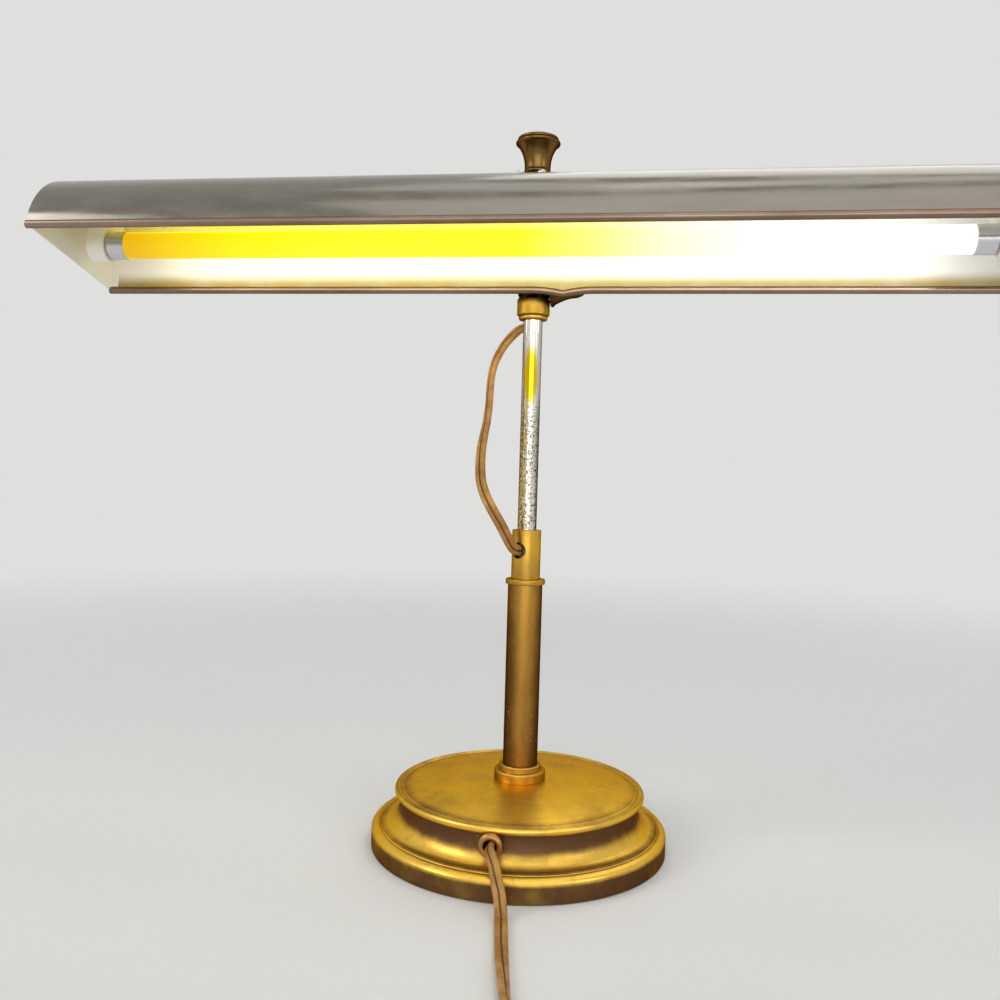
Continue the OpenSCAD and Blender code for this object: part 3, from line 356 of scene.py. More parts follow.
# Aged metal: bare metal that dark cover creeps over in clouds and blotches, with pits in both
aged_metal, given, made = effect(
    "aged_metal",
    [("Place", "Vector"), ("Bare", "Color"), ("Covered", "Color"), ("Cover", "Float"),
     ("Gloss", "Float"), ("Dull", "Float"), ("Pits", "Float")],
    [("Colour", "Color"), ("Roughness", "Float"), ("Height", "Float")])
clouds = noise(aged_metal, given["Place"], 34, 3, 0.55)
blotches = noise(aged_metal, given["Place"], 190, 6, 0.65, 0.4)
pits = noise(aged_metal, given["Place"], 1500, 3, 0.6)
mixed = sums(aged_metal, "ADD", sums(aged_metal, "MULTIPLY", clouds, 0.75),
             sums(aged_metal, "MULTIPLY", blotches, 0.25))
mixed = sums(aged_metal, "ADD", mixed, sums(aged_metal, "SUBTRACT", given["Cover"], 0.5))
covered = remap(aged_metal, mixed, 0.1, 0.9)
pitted = sums(aged_metal, "MULTIPLY", remap(aged_metal, pits, 0.58, 0.70), given["Pits"])
both = sums(aged_metal, "MAXIMUM", covered, pitted)
aged_metal.links.new(tint(aged_metal, both, given["Bare"], given["Covered"]), made["Colour"])
duller = sums(aged_metal, "SUBTRACT", given["Dull"], given["Gloss"])
rough = sums(aged_metal, "ADD", given["Gloss"], sums(aged_metal, "MULTIPLY", both, duller))
aged_metal.links.new(sums(aged_metal, "ADD", rough, remap(aged_metal, clouds, 0.3, 0.8, -0.02, 0.04)),
                     made["Roughness"])
aged_metal.links.new(sums(aged_metal, "SUBTRACT", sums(aged_metal, "MULTIPLY", blotches, 0.4),
                          sums(aged_metal, "MULTIPLY", pits, 0.1)), made["Height"])


def metal(name, bare, covered, cover, gloss, dull, pits=0.2, depth=0.00001, pull=None, **constants):
    """A metal finish with its bare colour, its tarnish and how far that covers it."""
    look, tree, shader, place = new_material(name, Metallic=1.0, **constants)
    if pull:
        place = stretched(tree, place, pull)
    aged = use(tree, aged_metal, place, Bare=bare, Covered=covered, Cover=cover, Gloss=gloss,
               Dull=dull, Pits=pits)
    paint(tree, shader, aged["Colour"])
    tree.links.new(aged["Roughness"], shader.inputs["Roughness"])
    bump(tree, shader, aged["Height"], depth)
    return look


def finish(look, *nodes):
    """Gives CAD nodes a finish."""
    for node in nodes:
        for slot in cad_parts[node].material_slots:
            slot.material = look


steel_look = metal("zinc_steel", (0.58, 0.58, 0.57), (0.26, 0.25, 0.23), 0.38, 0.28, 0.5)
finish(steel_look, "base_plate", "ballast_screws", "base_washer", "base_nut", "bushing_nut")

# The weight: a casting in iron with its rough skin left on. It fits under the roof of the base, so
# that the long shade doesn't tip the lamp.
iron_look = metal("cast_iron", (0.20, 0.19, 0.18), (0.08, 0.06, 0.05), 0.55, 0.5, 0.75, 0.6, 0.0003)
finish(iron_look, "base_weight")

# The ballast and the starter: a grey enamelled can with a laminated core in it, and a drawn
# aluminium can in a moulded socket, both screwed to the bottom plate.
ballast_look, tree, shader, place = new_material("ballast_paint", Roughness=0.42)
peel = noise(tree, place, 700, 3)
scuffed = remap(tree, noise(tree, place, 90, 5, 0.6), 0.5, 0.72)
paint(tree, shader, tint(tree, scuffed, (0.17, 0.18, 0.20), (0.30, 0.30, 0.31)))
bump(tree, shader, peel, 0.0001)
finish(ballast_look, "ballast")
aluminium_look = metal("drawn_aluminium", (0.74, 0.75, 0.76), (0.42, 0.42, 0.42), 0.32, 0.25, 0.45,
                       pull=(0.2, 1, 1))
finish(aluminium_look, "starter")
ivory_look, tree, shader, place = new_material("ivory_plastic", Roughness=0.35)
tone_shift = noise(tree, place, 70, 4)
colour = tint(tree, tone_shift, (0.84, 0.80, 0.68), (0.90, 0.88, 0.80))
paint(tree, shader, colour)
bump(tree, shader, noise(tree, place, 1600, 2), 0.00003)
finish(ivory_look, "starter_socket")

# The base shell: spun from one brass sheet with a band, a shoulder, a hollow cove and a bead, then
# browned and lacquered. The proud edges are rubbed bright and the hollows have patina; the band and
# the upper cove are also darkened as painted shade, and the lower cove is left bright as a painted
# reflection of light from above.
brass_bare = (0.85, 0.53, 0.085)
brass_brown = (0.13, 0.065, 0.028)
brass_edge = (0.58, 0.35, 0.07, 1)
# Brown cover by height: patina in the hollows, painted shade on the band and the upper cove, and little
# cover on the lower cove as a painted reflection.
patina_and_shade_by_height = [
    (0, 0.82), (9.6, 0.78), (10.9, 0.42), (12.6, 0.06), (14.2, 0.10), (14.7, 0.80),
    (15.4, 0.22), (17.5, 0.12), (20.5, 0.40), (23.5, 0.80), (27, 0.98), (32, 1.05),
    (33.2, 0.48), (34.6, 0.16), (36.4, 0.16), (37.2, 0.60), (38, 0.32), (42, 0.32),
]
top_height = 45 * MM


def by_stops(tree, value, stops):
    """A colour by a value from 0 to 1, through stops that are each a place and a colour."""
    made = add(tree, "ShaderNodeValToRGB")
    ramp = made.color_ramp
    while len(ramp.elements) < len(stops):
        ramp.elements.new(0.5)
    for stop, (position, colour) in zip(ramp.elements, stops):
        stop.position = position
        stop.color = (*colour, 1)
    tree.links.new(value, made.inputs["Fac"])
    return made.outputs["Color"]


shell_look, tree, shader, place = new_material("antique_brass_spun", Metallic=1.0,
                                               Specular_Tint=brass_edge, Coat_Weight=0.05,
                                               Coat_Roughness=0.25)
share_of_height = sums(tree, "DIVIDE", parts_of(tree, place)[2], top_height)
patina_and_shade_stops = [(height * MM / top_height, (cover,) * 3) for height, cover in patina_and_shade_by_height]
aged = use(tree, aged_metal, place, Bare=brass_bare, Covered=brass_brown,
           Cover=by_stops(tree, share_of_height, patina_and_shade_stops), Gloss=0.34, Dull=0.50, Pits=0.02)
drips = noise(tree, stretched(tree, place, (1, 1, 0.4)), 75, 5, 0.7, 1.2)
stains = remap(tree, drips, 0.55, 0.75, 0, 0.35)
chalk = remap(tree, noise(tree, place, 420, 2, 0.5), 0.74, 0.78, 0, 0.6)
colour = tint(tree, stains, aged["Colour"], (0.24, 0.105, 0.03))
paint(tree, shader, tint(tree, chalk, colour, (0.72, 0.66, 0.58)))
tree.links.new(sums(tree, "ADD", aged["Roughness"], sums(tree, "MULTIPLY", stains, 0.12)),
               shader.inputs["Roughness"])
spinning = fill(add(tree, "ShaderNodeTexWave", wave_type="RINGS", rings_direction="Z"), Scale=220,
                Distortion=1.0, Detail=2.0)
tree.links.new(place, spinning.inputs["Vector"])
rings = sums(tree, "MULTIPLY", spinning.outputs["Fac"], 0.25)
bump(tree, shader, sums(tree, "ADD", aged["Height"], rings), 0.00001)
finish(shell_look, "base_shell")

# The cord bushing: a turned brass ring in the cove, where the flex leaves, held by a nut inside. The
# nipple and the plug in the column's foot are plain turned brass too.
brass_look = metal("antique_brass", (0.80, 0.46, 0.06), brass_brown, 0.46, 0.32, 0.44, pits=0.05,
                   Specular_Tint=(0.3, 0.17, 0.04, 1))
finish(brass_look, "nipple", "column_plug")
bushing_look = metal("bushing_brass", (0.52, 0.27, 0.08), (0.16, 0.08, 0.035), 0.46, 0.3, 0.45,
                     pits=0.1, Specular_Tint=(0.4, 0.24, 0.1, 1))
finish(bushing_look, "cord_bushing")

# The mains cord: a flat twin flex in brown vinyl that leaves the bushing, falls to the table and
# is put away in a coil on edge in two layers, out of the picture, with its plug on the end.
cord_width = 7.2
cord_thickness = 3.6
bushing_height = 27.5
cord_lie = 2
hang_route = [
    (-4.9, -69.8, 1, -55), (-5.6, -79.8, 1, -55), (-5.7, -86, 1, -55), (-5, -90.4, 0.99, -55),
    (-3.2, -95.2, 0.955, -54), (-1, -99.7, 0.855, -52), (0.8, -103, 0.69, -48), (2.2, -104.8, 0.5, -38),
    (3.7, -106.5, 0.3, -24), (4.8, -109.8, 0.137, -10), (5.8, -114.4, 0.03, 0),
]
table_route = [
    (6.7, -119.6, 2, 0), (7.6, -125.6, 2, 0), (8.7, -132.7, 2, 0), (9.9, -140.8, 2, 0),
    (11.4, -150, 2.2, 8), (12.9, -159, 2.5, 18), (14.4, -167.6, 2.8, 28), (16, -176.2, 3.1, 38),
    (18.8, -191.3, 3.5, 50), (22.8, -205.5, 3.8, 60), (29.2, -219.5, 4.2, 70), (38.3, -232.5, 4.6, 80),
    (48.2, -244.5, 4.9, 87), (55, -253.2, 5, 90), (59.5, -262.5, 5, 90),
]
coil_centre = (108, -261)
coil_from = 200
coil_inner = 33.5
coil_pitch = 4.2
coil_layer = 7.8
coil_low = 5
turns_in = 3
turns_out = 3.25
turn_steps = 48
coil_climb = 0.5
coil_lead = 7.2
coil_tail = 20


def coil_point(step):
    """A point on the coil, which winds inwards below, climbs, and winds outwards above."""
    turns = step / turn_steps
    climb = min(1, max(0, (turns - turns_in) / coil_climb + 0.5))
    angle = math.radians(coil_from) + 2 * math.pi * turns
    radius = coil_inner + coil_pitch * abs(turns - turns_in)
    return Vector((coil_centre[0] + radius * math.cos(angle), coil_centre[1] + radius * math.sin(angle),
                   coil_low + coil_layer * climb * climb * (3 - 2 * climb), 90))


def coil_heading(step):
    """The direction of the coil's turn at a step."""
    angle = math.radians(coil_from) + 2 * math.pi * step / turn_steps
    return Vector((-math.sin(angle), math.cos(angle), 0, 0))


def smooth_route(points, steps):
    """A smooth curve through points that were given, with some steps between each two."""
    points = [Vector(p) for p in points]
    curve = []
    for i in range(len(points) - 1):
        a, b, c, d = (points[min(max(i + k, 0), len(points) - 1)] for k in (-1, 0, 1, 2))
        for k in range(steps):
            t = k / steps
            curve.append((2 * b + (c - a) * t + (2 * a - 5 * b + 4 * c - d) * t * t
                          + (3 * b - a - 3 * c + d) * t ** 3) / 2)
    return curve + [points[-1]]


def twin_section():
    """The flex's section: two round ribs side by side with a groove between them."""
    rib = cord_width / 4
    thick = cord_thickness / 2
    half = [(rib + rib * math.cos(a), thick * math.sin(a))
            for a in (math.radians(d) for d in range(-125, 126, 25))]
    groove = thick * 0.5
    return half + [(0, groove)] + [(-x, -y) for x, y in half] + [(0, -groove)]


def flat_cord(name, curve, facing):
    """A tube of the flex's section along a curve in millimetres. A point's fourth number turns it."""
    section = twin_section()
    mesh = bmesh.new()
    uv = mesh.loops.layers.uv.new("along")
    rings = []
    lengths = [0.0]
    for i, point in enumerate(curve):
        along = (curve[min(i + 1, len(curve) - 1)] - curve[max(i - 1, 0)]).to_3d().normalized()
        side = along.cross(facing).normalized()
        face = side.cross(along)
        turned_by = math.radians(point[3])
        wide = side * math.cos(turned_by) + face * math.sin(turned_by)
        thick = face * math.cos(turned_by) - side * math.sin(turned_by)
        rings.append([mesh.verts.new((point.to_3d() + wide * x + thick * y) * MM) for x, y in section])
        if i:
            lengths.append(lengths[-1] + (point - curve[i - 1]).to_3d().length * MM)
    count = len(section)
    for i in range(len(rings) - 1):
        for j in range(count):
            k = (j + 1) % count
            face = mesh.faces.new((rings[i][j], rings[i][k], rings[i + 1][k], rings[i + 1][j]))
            corners = ((j, i), (j + 1, i), (j + 1, i + 1), (j, i + 1))
            for loop, (across, ring) in zip(face.loops, corners):
                loop[uv].uv = (across / count, lengths[ring])
    mesh.faces.new(reversed(rings[0]))
    mesh.faces.new(rings[-1])
    bmesh.ops.recalc_face_normals(mesh, faces=mesh.faces)
    data = bpy.data.meshes.new(name)
    mesh.to_mesh(data)
    mesh.free()
    made = bpy.data.objects.new(name, data)
    bpy.context.scene.collection.objects.link(made)
    for polygon in data.polygons:
        polygon.use_smooth = True
    return made, lengths[-1]


mains_route = [(x, y, cord_lie + share * (bushing_height - cord_lie), turned_by)
               for x, y, share, turned_by in hang_route] + table_route
coil_last = round(turn_steps * (turns_in + turns_out))
coil_curve = [coil_point(i) for i in range(coil_last + 1)]
coil_start = coil_curve[0] - coil_lead * coil_heading(0)
coil_end = coil_curve[-1] + coil_tail * coil_heading(coil_last)
mains_curve = smooth_route(mains_route + [tuple(coil_start)], 3) + coil_curve + [coil_end]
mains_cord, mains_length = flat_cord("mains_flex", mains_curve, Vector((0, 0, 1)))

cord_look, tree, shader, place = new_material("cord_cover", Roughness=0.38, Specular_IOR_Level=0.3)
across = parts_of(tree, add(tree, "ShaderNodeUVMap", uv_map="along").outputs["UV"])[0]
from_groove = sums(tree, "PINGPONG", sums(tree, "ADD", across, 1 / 24), 0.25)
wear = remap(tree, noise(tree, place, 60, 5, 0.6), 0.35, 0.7)
fine = noise(tree, place, 2500, 2)
colour = tint(tree, wear, (0.33, 0.145, 0.027), (0.60, 0.315, 0.08))
# The groove between the ribs is painted dark, as painted shade.
colour = tint(tree, remap(tree, from_groove, 0.045, 0.012), colour, (0.09, 0.036, 0.009))
paint(tree, shader, tint(tree, remap(tree, fine, 0.3, 0.8, 0, 0.2), colour, (0.10, 0.042, 0.01)))
bump(tree, shader, fine, 0.00005)
mains_cord.data.materials.append(cord_look)
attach(mains_cord, "base")
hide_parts("mains_cord", "mains_coil")

# The tie and the plug: a soft black strap round the coil, and a moulded brown plug with two flat
# brass blades.
strap_look, tree, shader, place = new_material("tie_plastic", Roughness=0.6)
weave = noise(tree, place, 1400, 3)
colour = tint(tree, weave, (0.012, 0.012, 0.012), (0.045, 0.045, 0.045))
paint(tree, shader, colour)
bump(tree, shader, weave, 0.0002)
finish(strap_look, "coil_tie")
plug_look, tree, shader, place = new_material("plug_plastic", Roughness=0.45)
mottle = noise(tree, place, 130, 5, 0.6)
colour = tint(tree, mottle, (0.055, 0.028, 0.012), (0.12, 0.066, 0.028))
paint(tree, shader, colour)
bump(tree, shader, noise(tree, place, 2200, 2), 0.00006)
finish(plug_look, "plug_body")
contact_look = metal("contact_brass", (0.72, 0.50, 0.17), (0.34, 0.21, 0.07), 0.33, 0.2, 0.4)
finish(contact_look, "plug_blades")

# The foot collar: turned from brass in two steps with rounded edges, bored for the column's foot and
# clamped on the base by the nipple.
collar_outline = rounded([(5.05, 42, 0), (16.55, 42, 0.3), (16.55, 48.2, 1.3), (13.6, 48.2, 0.3),
                          (13.6, 51.8, 1.1), (11.25, 51.8, 0.2), (11.25, 45, 0), (5.05, 45, 0)])
foot_collar = turned("turned_foot_collar", collar_outline)
foot_collar.data.materials.append(brass_look)
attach(foot_collar, "base")
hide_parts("foot_collar")

# The column: a drawn brass tube, browned darker than the base, with small bright nicks. It is less
# brown towards the top; its sides are darkened as painted shade and its front is left light as a
# painted highlight.
column_radius = 11.2
column_bore = 9.7
column_foot = 45
column_top = 168.5
lit_front_x = 0.002
fade_top = 0.165
fade_foot = 0.06
shaded_side_from = 0.002
shaded_side_to = 0.0105
column_look, tree, shader, place = new_material("column_brass", Metallic=1.0,
                                                Specular_Tint=(0.16, 0.085, 0.03, 1))
x, _, z = parts_of(tree, place)
off_lit_front = sums(tree, "ABSOLUTE", sums(tree, "SUBTRACT", x, lit_front_x), 0)
# Painted shade on the sides and a painted highlight down the front, added to less brown towards the
# top.
brown_and_painted_shade = sums(tree, "ADD", remap(tree, z, fade_top, fade_foot, 0.26, 0.58),
               remap(tree, off_lit_front, shaded_side_from, shaded_side_to, 0, 0.42))
aged = use(tree, aged_metal, stretched(tree, place, (1, 1, 0.5)), Bare=(0.53, 0.275, 0.05),
           Covered=(0.14, 0.066, 0.016), Cover=brown_and_painted_shade, Gloss=0.30, Dull=0.42, Pits=0)
nicks = remap(tree, noise(tree, place, 900, 2), 0.69, 0.75, 0, 0.7)
paint(tree, shader, tint(tree, nicks, aged["Colour"], (0.85, 0.64, 0.30)))
tree.links.new(aged["Roughness"], shader.inputs["Roughness"])
bump(tree, shader, aged["Height"], 0.00001)
column = turned("drawn_column", [(column_bore, column_foot), (column_radius, column_foot),
                                 (column_radius, column_top), (column_bore, column_top)])
column.data.materials.append(column_look)
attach(column, "base")
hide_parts("column_tube")

# The ring and the sleeve: a turned brass ring on the column's top, and the sleeve that stands in it,
# with a drilled hole for the flex.
ring_outline = rounded([(9.4, column_top, 0), (12.8, column_top, 0.9), (12.8, 172, 0.9),
                        (9.4, 172, 0.3)])
column_ring = turned("turned_column_ring", ring_outline)
column_ring.data.materials.append(brass_look)
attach(column_ring, "base")
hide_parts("column_ring")


def drilled(piece, diameter, height, heading):
    """Drills a round hole into a turned piece, from its axis outwards on a heading in degrees."""
    depth = 30 * MM
    out = Vector((math.cos(math.radians(heading)), math.sin(math.radians(heading)), 0))
    bpy.ops.object.select_all(action="DESELECT")
    bpy.ops.mesh.primitive_cylinder_add(vertices=64, radius=diameter / 2 * MM, depth=depth,
                                        location=out * depth / 2 + Vector((0, 0, height * MM)),
                                        rotation=(0, math.pi / 2, math.radians(heading)))
    drill = bpy.context.object
    bpy.context.view_layer.objects.active = piece
    cut = piece.modifiers.new("hole", "BOOLEAN")
    cut.object = drill
    cut.operation = "DIFFERENCE"
    bpy.ops.object.modifier_apply(modifier=cut.name)
    bpy.data.objects.remove(drill)
    bpy.ops.object.select_all(action="DESELECT")
    piece.select_set(True)
    bpy.ops.object.shade_smooth_by_angle(angle=crease_angle)


sleeve_outline = rounded([(8.15, 162, 0), (9.65, 162, 0), (9.65, column_top, 0), (9.35, column_top, 0),
                          (9.35, 203.7, 0.5), (6.45, 203.7, 0.3), (6.45, 202.7, 0), (8.15, 202.7, 0)])
sleeve = turned("turned_sleeve", sleeve_outline)
drilled(sleeve, diameter=10.5, height=190.6, heading=241)
sleeve.data.materials.append(brass_look)
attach(sleeve, "base")
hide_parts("sleeve")
finish(brass_look, "stop_ring")
fibre_look, tree, shader, place = new_material("pressed_fibre", Roughness=0.7)
strands = noise(tree, stretched(tree, place, (1, 1, 0.3)), 900, 4)
paint(tree, shader, tint(tree, strands, (0.16, 0.09, 0.04), (0.36, 0.24, 0.12)))
bump(tree, shader, strands, 0.0001)
finish(fibre_look, "friction_bush", "friction_washers")

# The sliding tube: nickel plated brass, worn and pitted so that brass and black show through, most
# of all on its left. Its flanks are darkened as painted shade, a gold patch near its top is a painted
# reflection of the lit shade, and below the sleeve's mouth it is dark as painted shade and grease.
bright_above = 0.296
worn_below = 0.27
reflection_height = 0.303
reflection_half_height = 0.025
reflection_half_width = 0.0058
flank_middle = 0.0006
flank_from = 0.0026
flank_to = 0.0056
sleeve_mouth = 0.2032
shade_and_grease_below = 0.2000
nickel_look, tree, shader, place = new_material("worn_nickel", Metallic=1.0,
                                                Specular_Tint=(0.22, 0.2, 0.15, 1))
aged = use(tree, aged_metal, place, Bare=(0.95, 0.94, 0.90), Covered=(0.60, 0.55, 0.44), Cover=0.30,
           Gloss=0.12, Dull=0.28, Pits=0.4)
x, y, z = parts_of(tree, place)
lower = remap(tree, z, bright_above, worn_below)
ragged = noise(tree, stretched(tree, place, (1, 1, 0.6)), 420, 6, 0.75)
one_side = sums(tree, "MULTIPLY", lower, remap(tree, x, 0.001, -0.0025, 0.2, 1.0))
worn_through = sums(tree, "MULTIPLY", remap(tree, ragged, 0.40, 0.58),
                    sums(tree, "ADD", one_side, 0.08))
black_spots = sums(tree, "MULTIPLY", remap(tree, noise(tree, place, 750, 5, 0.75), 0.49, 0.57),
                   sums(tree, "ADD", sums(tree, "MULTIPLY", lower, 0.85), 0.06))
# A gold patch near the top, on the front: a painted reflection of the lit shade.
reflection_wide = sums(tree, "DIVIDE", x, reflection_half_width)
reflection_tall = sums(tree, "DIVIDE", sums(tree, "SUBTRACT", z, reflection_height), reflection_half_height)
reflection_out = sums(tree, "ADD", sums(tree, "MULTIPLY", reflection_wide, reflection_wide),
                 sums(tree, "MULTIPLY", reflection_tall, reflection_tall))
reflection_patch = sums(tree, "MULTIPLY", remap(tree, reflection_out, 1.0, 0.25), remap(tree, y, 0.0, -0.003))
# The flanks are darkened as painted shade, gold on the left where the brass is worn through.
off_middle = sums(tree, "ABSOLUTE", sums(tree, "SUBTRACT", x, flank_middle), 0)
shaded_flanks = remap(tree, off_middle, flank_from, flank_to)
shaded_flanks = sums(tree, "MULTIPLY", shaded_flanks, sums(tree, "ADD", sums(tree, "MULTIPLY", lower, 0.35), 0.5))
colour = tint(tree, worn_through, aged["Colour"], (0.62, 0.44, 0.12))
rubbed = sums(tree, "MULTIPLY", lower, remap(tree, x, 0.0005, -0.003))
colour = tint(tree, shaded_flanks, colour, tint(tree, rubbed, (0.16, 0.13, 0.085), (0.56, 0.40, 0.11)))
colour = tint(tree, reflection_patch, colour, (0.72, 0.48, 0.012))
colour = tint(tree, black_spots, colour, (0.05, 0.035, 0.022))
# Below the sleeve's mouth the tube is painted dark, as painted shade inside the sleeve and as grease.
sleeve_shade = remap(tree, z, sleeve_mouth, shade_and_grease_below)
grease_and_shade = tint(tree, ragged, (0.03, 0.024, 0.015), (0.20, 0.17, 0.12))
paint(tree, shader, tint(tree, sleeve_shade, colour, grease_and_shade))
tree.links.new(sums(tree, "ADD", aged["Roughness"], sums(tree, "MULTIPLY", black_spots, 0.25)),
               shader.inputs["Roughness"])
bump(tree, shader, sums(tree, "SUBTRACT", aged["Height"], black_spots), 0.00005)
tube_outline = rounded([(5.35, 130, 0), (6.15, 130, 0), (6.15, 349.9, 0), (5.35, 349.9, 0)])
sliding_tube = turned("drawn_sliding_tube", tube_outline)
drilled(sliding_tube, diameter=7.8, height=334.8, heading=146)
sliding_tube.data.materials.append(nickel_look)
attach(sliding_tube, "stem")
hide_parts("inner_tube")
finish(nickel_look, "switch_nut")

# The stem ring: a turned brass ring with rounded edges, fixed near the top of the sliding tube. The
# head turns on it.
stem_outline = rounded([(6.2, 338.9, 0), (9.25, 338.9, 0.9), (9.25, 341.3, 0.7), (6.2, 341.3, 0)])
stem_ring = turned("turned_stem_ring", stem_outline)
stem_ring.data.materials.append(brass_look)
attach(stem_ring, "stem")
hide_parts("stem_ring")

# The loop cord: the same flex in a short slack loop from the hole in the sleeve to the hole in the
# sliding tube, so that the tube can rise. It hangs free.
loop_turn = math.radians(6.8)
loop_route = [
    (-3.9, 5.4, 190.5, 10), (-5.5, 7.6, 190.7, 10), (-8.2, 11, 192.2, 12), (-11.2, 13, 197, 14),
    (-16.7, 13, 207, 16), (-22.2, 12, 216, 18), (-27.5, 10.5, 226, 20), (-30.3, 9, 235, 25),
    (-31, 8, 245, 32), (-30.6, 7, 255, 42), (-29.3, 6, 264, 52), (-27.6, 5, 274, 60),
    (-26.7, 4, 284, 64), (-26.4, 2.6, 293, 66), (-25.7, 0.6, 303, 64), (-23.4, -2.5, 313, 58),
    (-18.6, -6.5, 323, 52), (-12.9, -8.9, 330.5, 47), (-8.2, -7, 334.1, 45), (-3.4, -3, 334.8, 45),
]
loop_points = []
for sideways, forwards, height, turned_by in loop_route:
    x = sideways * math.cos(loop_turn) + forwards * math.sin(loop_turn)
    y = sideways * math.sin(loop_turn) - forwards * math.cos(loop_turn)
    loop_points.append((x, y, height, turned_by))
loop_curve = smooth_route(loop_points, 4)
loop_facing = Vector((math.sin(loop_turn), -math.cos(loop_turn), 0))
loop_cord, loop_length = flat_cord("loop_flex", loop_curve, loop_facing)
loop_cord.data.materials.append(cord_look)
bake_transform(loop_cord)
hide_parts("loop_cord")

# The head: a turned brass cup that swivels on the stem ring, held by a grub screw, with a cross pin
# that carries the shade, and the post behind the shade with the switch housing on it.
finish(brass_look, "post", "switch_housing")
# The cup goes dark brown towards its top, as painted shadow under the shade.
cup_lit_to = 0.3475
cup_shaded_from = 0.3540
cup_look, tree, shader, place = new_material("cup_brass", Metallic=1.0,
                                             Specular_Tint=(0.3, 0.17, 0.04, 1))
brown_and_painted_shade = remap(tree, parts_of(tree, place)[2], cup_lit_to, cup_shaded_from, 0.44, 1.0)
aged = use(tree, aged_metal, place, Bare=(0.66, 0.38, 0.045), Covered=(0.075, 0.042, 0.018),
           Cover=brown_and_painted_shade, Gloss=0.28, Dull=0.46, Pits=0)
paint(tree, shader, aged["Colour"])
tree.links.new(aged["Roughness"], shader.inputs["Roughness"])
finish(cup_look, "swivel_cup")
finish(steel_look, "swivel_screw")
finish(contact_look, "pivot_pin")
switch_look, tree, shader, place = new_material("switch_plastic", Roughness=0.5)
moulded = noise(tree, place, 300, 4)
colour = tint(tree, moulded, (0.012, 0.011, 0.010), (0.05, 0.045, 0.04))
paint(tree, shader, colour)
finish(switch_look, "switch_body")

# The knobs: solid turned brass, dark brown. One clamps the tilt, and one turns the switch on its
# steel spindle. The clamp knob takes a darker brass, as painted shadow under the shade.
knob_look = metal("dark_brass", (0.22, 0.125, 0.036), (0.14, 0.078, 0.026), 0.5, 0.22, 0.30, pits=0,
                  Specular_Tint=(0.16, 0.1, 0.05, 1))
shaded_brass_look = metal("brass_in_painted_shadow", (0.16, 0.085, 0.024), (0.06, 0.034, 0.014), 0.5, 0.28, 0.4,
                   pits=0.05, Specular_Tint=(0.12, 0.07, 0.03, 1))
finish(shaded_brass_look, "clamp_knob")
knob_foot = 432.4
knob_neck = 435
knob_rim = 450.7
knob_top = 455.5
foot_radius = 8.35
flare_radius = 13.15
flare_steps = 18


def bead(radius, height, size, start, end):
    """A turned bead's outline between two angles."""
    angles = [math.radians(start + (end - start) * i / 8) for i in range(9)]
    return [(radius + size * math.cos(a), height + size * math.sin(a)) for a in angles]


flare = [(foot_radius + (flare_radius - foot_radius) * (i / flare_steps) ** 2.5,
          knob_neck + (knob_rim - knob_neck) * i / flare_steps) for i in range(flare_steps + 1)]
knob_hollow = [(0, 446.45), (2.35, 446.45), (2.35, 438.6), (4.4, 438.6), (4.4, 434.6), (7, 434.6)]
foot_bead = bead(7.95, 433.4, 1, -90, 90)
rim_beads = bead(flare_radius, 451.9, 1.2, -80, 80) + bead(11.95, 454.3, 1.2, -80, 90)
switch_knob = turned("turned_switch_knob", [(7, knob_foot)] + foot_bead + flare + rim_beads
                     + [(0, knob_top)] + knob_hollow)
switch_knob.data.materials.append(knob_look)
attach(switch_knob, "switch")
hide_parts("switch_knob")
finish(steel_look, "switch_spindle")

# The saddle: a curved brass plate riveted on the back of the shade, with the tongue that the pin
# passes through. The rivets' heads inside the shade are painted with it.
# The plate and the tongue take the darker brass too, as painted shadow under the shade.
finish(shaded_brass_look, "saddle_plate", "tilt_tongue")
shade_axis = (-59.85, 365.6)
shade_tilt = math.radians(13)
shade_radius = 46
sheet_thickness = 0.7
white_enamel = (0.86, 0.85, 0.80)
enamel_aged_and_shaded = (0.34, 0.25, 0.05)
painted_glow_yellow = (0.86, 0.80, 0.16)
painted_to = 0.0462
bare_from = 0.0466


def in_shade(tree, place):
    """A place's distance from the shade's axis and its height over the lips, in metres."""
    x, y, z = parts_of(tree, place)
    across = sums(tree, "SUBTRACT", y, shade_axis[0] * MM)
    rise = sums(tree, "SUBTRACT", z, shade_axis[1] * MM)
    out = sums(tree, "SQRT", sums(tree, "ADD", sums(tree, "MULTIPLY", across, across),
                                  sums(tree, "MULTIPLY", rise, rise)), 0)
    over = sums(tree, "ADD", sums(tree, "MULTIPLY", across, math.sin(shade_tilt)),
                sums(tree, "MULTIPLY", rise, math.cos(shade_tilt)))
    return out, over


rivet_look, tree, shader, place = new_material("painted_rivets", Roughness=0.35)
out, _ = in_shade(tree, place)
outside = remap(tree, out, painted_to, bare_from)
aged = use(tree, aged_metal, place, Bare=brass_bare, Covered=brass_brown, Cover=0.45, Gloss=0.2,
           Dull=0.4, Pits=0.2)
paint(tree, shader, tint(tree, outside, white_enamel, aged["Colour"]))
tree.links.new(outside, shader.inputs["Metallic"])
finish(rivet_look, "saddle_rivets")

# The shade: one sheet bent to a half round, with each long edge rolled over a steel wire. It is
# polished plate outside and white enamel inside, and the back lip has been knocked.
shade_half = 285
lip_across = 45.6
lip_radius = 2.3
arc_steps = 56
lip_steps = 18
shade_steps = 114
sheet_crease = math.radians(35)


def shade_point(y, z):
    """A point of the shade's section in the lamp's own frame, in metres, at its left end."""
    return Vector((-shade_half, shade_axis[0] + y * math.cos(shade_tilt) + z * math.sin(shade_tilt),
                   shade_axis[1] - y * math.sin(shade_tilt) + z * math.cos(shade_tilt))) * MM


